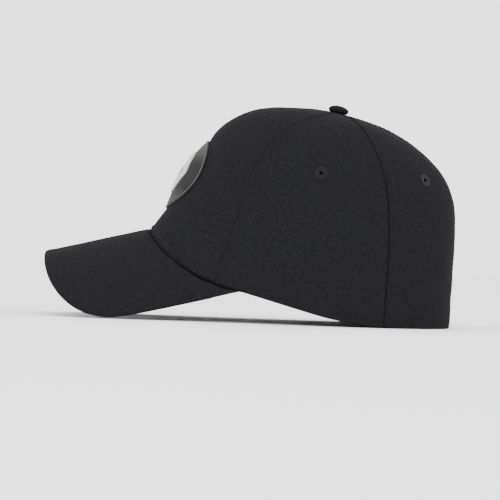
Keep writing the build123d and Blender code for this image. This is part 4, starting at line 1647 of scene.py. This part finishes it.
@dataclass
class Inside:
    """The cap's inner trim: seam tapes, sweatband, care label and size strap."""

    surface: CrownSurface
    finishes: dict[str, bpy.types.Material]
    lining: float = 1.25
    tape_width: float = 11.0
    tape_thickness: float = 0.6
    tape_start: float = 14.0
    sweatband_width: float = 32.0
    sweatband_rise: float = 1.5
    sweatband_thickness: float = 2.0
    gap: float = 17.0
    strap_rise: float = 5.0
    strap_width: float = 20.0
    strap_thickness: float = 0.9
    pile: float = 0.6
    pile_gap: float = 0.3
    anchor: float = 19.0
    flap_end: float = 36.0
    hook_start: float = 17.5
    loop_end: float = 46.0
    label_angle: float = 118.0
    label_width: float = 26.0
    label_height: float = 17.0
    label_rise: float = 6.0
    label_thickness: float = 0.3

    def seam_tape(self, node: str, seam: Seam) -> bpy.types.Object:
        """A bias tape down the inside of one seam.

        Args:
            node: The CAD node that it stands for.
            seam: The seam.

        Returns:
            The tape.
        """
        depths = np.linspace(3.0, float(self.surface.rim(seam.angle)) - self.sweatband_width, 110)
        angle = seam.at(depths)
        radius = self.surface.radius(angle, depths)
        kept = radius > self.tape_start
        depths, angle, radius = depths[kept], angle[kept], radius[kept]
        half = np.degrees(self.tape_width / 2 / np.maximum(radius, 8))
        outer, inner = self.lining, self.lining + self.tape_thickness
        half_face = [(1, inner - 0.1), (0.93, inner), (0.62, inner - 0.16), (0.3, inner)]
        section = [(-1, outer), (1, outer), *half_face, (0.0, inner - 0.05)]
        section += [(-side, inset) for side, inset in half_face[::-1]]
        rows = [self.surface.point(angle + side * half, depths, -inset) for side, inset in section]
        points = np.array(rows)
        sides = np.array([s * self.tape_width / 2 for s, _ in section])
        uv = np.stack(np.broadcast_arrays(sides[:, None], depths[None, :]), -1)
        count = len(depths)
        faces = grid_faces(len(section), count, close_rows=True)
        faces += end_caps(len(section), count)
        cloth = self.finishes["black_seam_tape"]
        piece = make_piece(f"{node}_cloth", points.reshape(-1, 3), faces, cloth, uv.reshape(-1, 2))
        face_outwards(piece)
        return dress(piece, "cap", "seam_tape", node)

    def strips(self) -> None:
        """Sweatband, label, and the size strap with its hook and loop tapes."""
        surface, finishes = self.surface, self.finishes
        face = self.lining + self.sweatband_thickness
        hook_face = face + self.pile + self.pile_gap
        strap_face = hook_face + self.pile
        band = Strip(
            surface,
            "sweatband_cloth",
            self.lining,
            self.sweatband_thickness,
            self.sweatband_rise,
            self.sweatband_width - self.sweatband_rise,
            self.gap - 180,
            180 - self.gap,
            0.9,
        ).build(finishes["black_terry"], (3.0, 27.5))
        dress(band, "cap", "sweatband_fabric", "sweatband")
        reach = float(surface.radius(np.array(self.label_angle), np.array(120.0)))
        half = math.degrees(self.label_width / 2 / reach)
        label = Strip(
            surface,
            "care_label_cloth",
            face,
            self.label_thickness,
            self.label_rise,
            self.label_height,
            self.label_angle - half,
            self.label_angle + half,
            0.1,
        ).build(finishes["white_satin_label"])
        dress(label, "cap", "label_satin", "care_label")
        start = 180 - self.gap - self.anchor
        anchor = Strip(
            surface,
            "strap_anchor_webbing",
            face,
            strap_face - face + self.strap_thickness,
            self.strap_rise,
            self.strap_width,
            start,
            180 - self.gap,
        ).build(finishes["nylon_webbing"], (1.5, 18.5))
        dress(anchor, "cap", "strap_webbing", "strap_anchor")
        hinge_gap = math.degrees(0.35 / float(surface.radius(np.array(163.0), np.array(145.6))))
        flap = Strip(
            surface,
            "strap_flap_webbing",
            strap_face,
            self.strap_thickness,
            self.strap_rise,
            self.strap_width,
            180 - self.gap + hinge_gap,
            180 + self.flap_end,
        ).build(finishes["nylon_webbing"], (1.5, 18.5))
        dress(flap, "size_strap", "strap_webbing", "strap_flap")
        loops = Strip(
            surface,
            "strap_loop_pile",
            face,
            self.pile,
            self.strap_rise,
            self.strap_width,
            180 + self.hook_start,
            180 + self.loop_end,
        ).build(finishes["nylon_loop_tape"], (1.5, 18.5))
        dress(loops, "cap", "loop_tape", "strap_loop_tape")
        hooks = Strip(
            surface,
            "strap_hook_field",
            hook_face,
            self.pile,
            self.strap_rise,
            self.strap_width,
            180 + self.hook_start,
            180 + self.flap_end,
        ).build(finishes["nylon_hook_tape"])
        dress(hooks, "size_strap", "hook_tape", "strap_hook_tape")

    def build(self) -> None:
        """Build every piece of the inner trim."""
        seams = {
            "left_front": FRONT_SEAM,
            "right_front": FRONT_SEAM.mirrored(),
            "left_rear": REAR_SEAM,
            "right_rear": REAR_SEAM.mirrored(),
            "centre_back": BACK_SEAM,
        }
        for name, seam in seams.items():
            self.seam_tape(f"{name}_seam_tape", seam)
        self.strips()


# --------------------------------------------------------------------------------------
# Insert: shell and pads
# --------------------------------------------------------------------------------------


@dataclass
class Pads:
    """Foam pads inside the shell, swollen by a cloth simulation."""

    foam: bpy.types.Material
    voxel: float = 2.2
    shrink: float = 0.35
    pressure: float = 4.0
    frames: int = 20
    limit: float = 1.2

    def pad(self, node: str) -> bpy.types.Object:
        """Make one pad from its fitted solid.

        Args:
            node: The CAD node.

        Returns:
            The pad.
        """
        work = bmesh.new()
        work.from_mesh(frame["nodes"][node].data)
        bmesh.ops.remove_doubles(work, verts=work.verts, dist=0.003 * MM)
        bmesh.ops.recalc_face_normals(work, faces=work.faces)
        for vertex in work.verts:
            vertex.normal_update()
        moves = [(v, v.normal.copy()) for v in work.verts]
        for vertex, normal in moves:
            vertex.co -= normal * self.shrink * MM
        mesh = bpy.data.meshes.new(f"{node}_foam")
        work.to_mesh(mesh)
        work.free()
        piece = bpy.data.objects.new(f"{node}_raw", mesh)
        bpy.context.scene.collection.objects.link(piece)
        remesh = piece.modifiers.new("even", "REMESH")
        remesh.mode, remesh.voxel_size = "VOXEL", self.voxel * MM
        piece = plain_result(piece, f"{node}_foam")
        self.swell(piece)
        finer = piece.modifiers.new("finer", "SUBSURF")
        finer.levels = finer.render_levels = 1
        piece = plain_result(piece, f"{node}_foam")
        piece.data.materials.clear()
        piece.data.materials.append(self.foam)
        piece.data.polygons.foreach_set("use_smooth", [True] * len(piece.data.polygons))
        dress(piece, "insert", "eva_foam", node)
        return piece

    def swell(self, piece: bpy.types.Object) -> None:
        """Let pressure round the pad, and cap how far any point moves.

        Args:
            piece: The remeshed pad.
        """
        rest = np.array([v.co for v in piece.data.vertices])
        cloth = piece.modifiers.new("swell", "CLOTH")
        cloth.settings.use_pressure = True
        cloth.settings.uniform_pressure_force = self.pressure
        cloth.settings.effector_weights.gravity = 0
        cloth.settings.tension_stiffness = 25
        cloth.settings.compression_stiffness = 25
        scene = bpy.context.scene
        cloth.point_cache.frame_start, cloth.point_cache.frame_end = 1, self.frames
        for number in range(1, self.frames + 1):
            scene.frame_set(number)
        evaluated = piece.evaluated_get(bpy.context.evaluated_depsgraph_get())
        moved = np.array([v.co for v in evaluated.data.vertices])
        shift = moved - rest
        size = np.linalg.norm(shift, axis=1, keepdims=True)
        shift *= np.minimum(1, self.limit * MM / np.maximum(size, 1e-12))
        piece.modifiers.clear()
        piece.data.vertices.foreach_set("co", (rest + shift).astype(np.float32).ravel())
        piece.data.update()
        scene.frame_set(1)

    def build(self) -> None:
        """Build the five pads."""
        for node in ("crown_pad", "brow_pad", "left_side_pad", "right_side_pad", "rear_pad"):
            self.pad(node)


@dataclass
class HardParts:
    """Rigid CAD parts that keep their shape and take a finish."""

    finishes: dict[str, bpy.types.Material]

    def build(self) -> None:
        """Give each rigid part its finish."""
        looks = {
            "abs_shell": "moulded_black_abs",
            "button_rivet": "nickelled_steel",
            "peak_board": "moulded_black_abs",
        }
        for side in ("front", "left", "right"):
            looks[f"{side}_crown_loop_disc"] = "nylon_loop_tape"
            looks[f"{side}_shell_hook_disc"] = "nylon_hook_tape"
        for node, finish in looks.items():
            part = frame["nodes"][node]
            part.data.materials.clear()
            part.data.materials.append(self.finishes[finish])
            LOG.info("%s takes %s", node, finish)


# --------------------------------------------------------------------------------------
# Studio
# --------------------------------------------------------------------------------------


@dataclass
class Studio:
    """White floor, soft lights and the camera on the wearer's left."""

    floor_finish: bpy.types.Material
    distance: float = 1.9
    lens: float = 196.8
    roll: float = 2.1
    aim_z: float = 0.0489

    def light(self, name: str, place: tuple[float, float, float], size: float, power: float) -> None:
        """Add one soft square light aimed at the cap.

        Args:
            name: Its name.
            place: Where it stands, in metres.
            size: Side of the light, in metres.
            power: Its power, in watts.
        """
        data = bpy.data.lights.new(name, "AREA")
        data.shape, data.size, data.energy = "SQUARE", size, power
        lamp = bpy.data.objects.new(name, data)
        lamp.location = place
        aim = Vector((0, 0, 0.08)) - Vector(place)
        lamp.rotation_mode = "QUATERNION"
        lamp.rotation_quaternion = aim.to_track_quat("-Z", "Y")
        bpy.context.scene.collection.objects.link(lamp)

    def camera(self) -> None:
        """Place the camera, looking across the cap from the wearer's left."""
        data = bpy.data.cameras.new("camera")
        data.lens, data.sensor_width = self.lens, 36.0
        data.clip_start, data.clip_end = 0.05, 50
        camera = bpy.data.objects.new("camera", data)
        roll = math.radians(self.roll)
        right = Vector((0, math.cos(roll), math.sin(roll)))
        back = Vector((1, 0, 0))
        up = back.cross(right)
        turn = Matrix((right, up, back)).transposed()
        camera.rotation_mode = "QUATERNION"
        camera.rotation_quaternion = turn.to_quaternion()
        camera.location = Vector((self.distance, 0.0003, self.aim_z))
        bpy.context.scene.collection.objects.link(camera)
        bpy.context.scene.camera = camera

    def build(self) -> None:
        """Build the floor, the sky, the lights and the camera."""
        side = 6.0
        corners = np.array([(-side, -side, 0), (side, -side, 0), (side, side, 0), (-side, side, 0)]) / MM
        corners[:, 2] = -0.3
        floor = make_piece("floor", corners, [[0, 1, 2, 3]], self.floor_finish)
        world = bpy.data.worlds.new("studio_sky")
        world.use_nodes = True
        sky = world.node_tree.nodes["Background"]
        sky.inputs["Color"].default_value = linear("ffffff")
        sky.inputs["Strength"].default_value = 2.6
        bpy.context.scene.world = world
        self.light("key", (1.6, -0.4, 1.1), 1.2, 9)
        self.light("fill", (0.9, 1.4, 1.0), 1.4, 1.5)
        self.light("front", (0.6, -1.7, 0.9), 1.2, 1.5)
        self.camera()


def badge_finish(name: str, low: str, high: str) -> bpy.types.Material:
    """Face of the badge: darkest across its middle, with a painted highlight paler towards its top and
    bottom, where its dome faces the light.

    Args:
        name: The material's name.
        low: Hex colour of the middle.
        high: Hex colour of the painted highlight at the top and bottom.

    Returns:
        The material.
    """
    material = Finish(name, low, low, 0.8, grain=0.9, relief=0.03, specular=0.08).build()
    tree = material.node_tree
    shader = tree.nodes["Principled BSDF"]
    given = shader.inputs["Base Color"].links[0].from_socket
    place = add_node(tree, "ShaderNodeAttribute", {"attribute_name": "badge_height"}).outputs["Fac"]
    away = add_node(tree, "ShaderNodeMath", {"operation": "ABSOLUTE"}, i0=place).outputs[0]
    ramp = add_node(tree, "ShaderNodeMapRange", Value=away, From_Min=0.35, From_Max=0.95).outputs["Result"]
    mixed = add_node(tree, "ShaderNodeMix", {"data_type": "RGBA"}, i0=ramp)
    tree.links.new(given, mixed.inputs[6])
    mixed.inputs[7].default_value = linear(high)
    tree.links.new(mixed.outputs[2], shader.inputs["Base Color"])
    return material


def main() -> None:
    """Build the cap, piece by piece."""
    logging.basicConfig(level=logging.INFO, format="%(name)s: %(message)s")
    finishes = {finish.name: finish.build() for finish in FINISHES}
    surface = CrownSurface()
    twill, thread = finishes["black_cotton_twill"], finishes["black_embroidery_thread"]
    peak = Peak(surface, twill)
    peak.build()
    Crown(surface, peak, twill, finishes["black_sewing_thread"]).build()
    Eyelet(surface, thread).build()
    TopButton(surface, twill).build()
    # The face's paler colour is a painted highlight towards the badge's top and bottom.
    face = badge_finish("grey_pvc_face", "232323", "4a4a48")
    Badge(surface, face, finishes["pale_pvc_edge"], finishes["silver_lacquer"]).build()
    Inside(surface, finishes).build()
    Pads(finishes["black_eva_foam"]).build()
    HardParts(finishes).build()
    Studio(finishes["pale_floor"]).build()


if __name__ == "__main__":
    main()
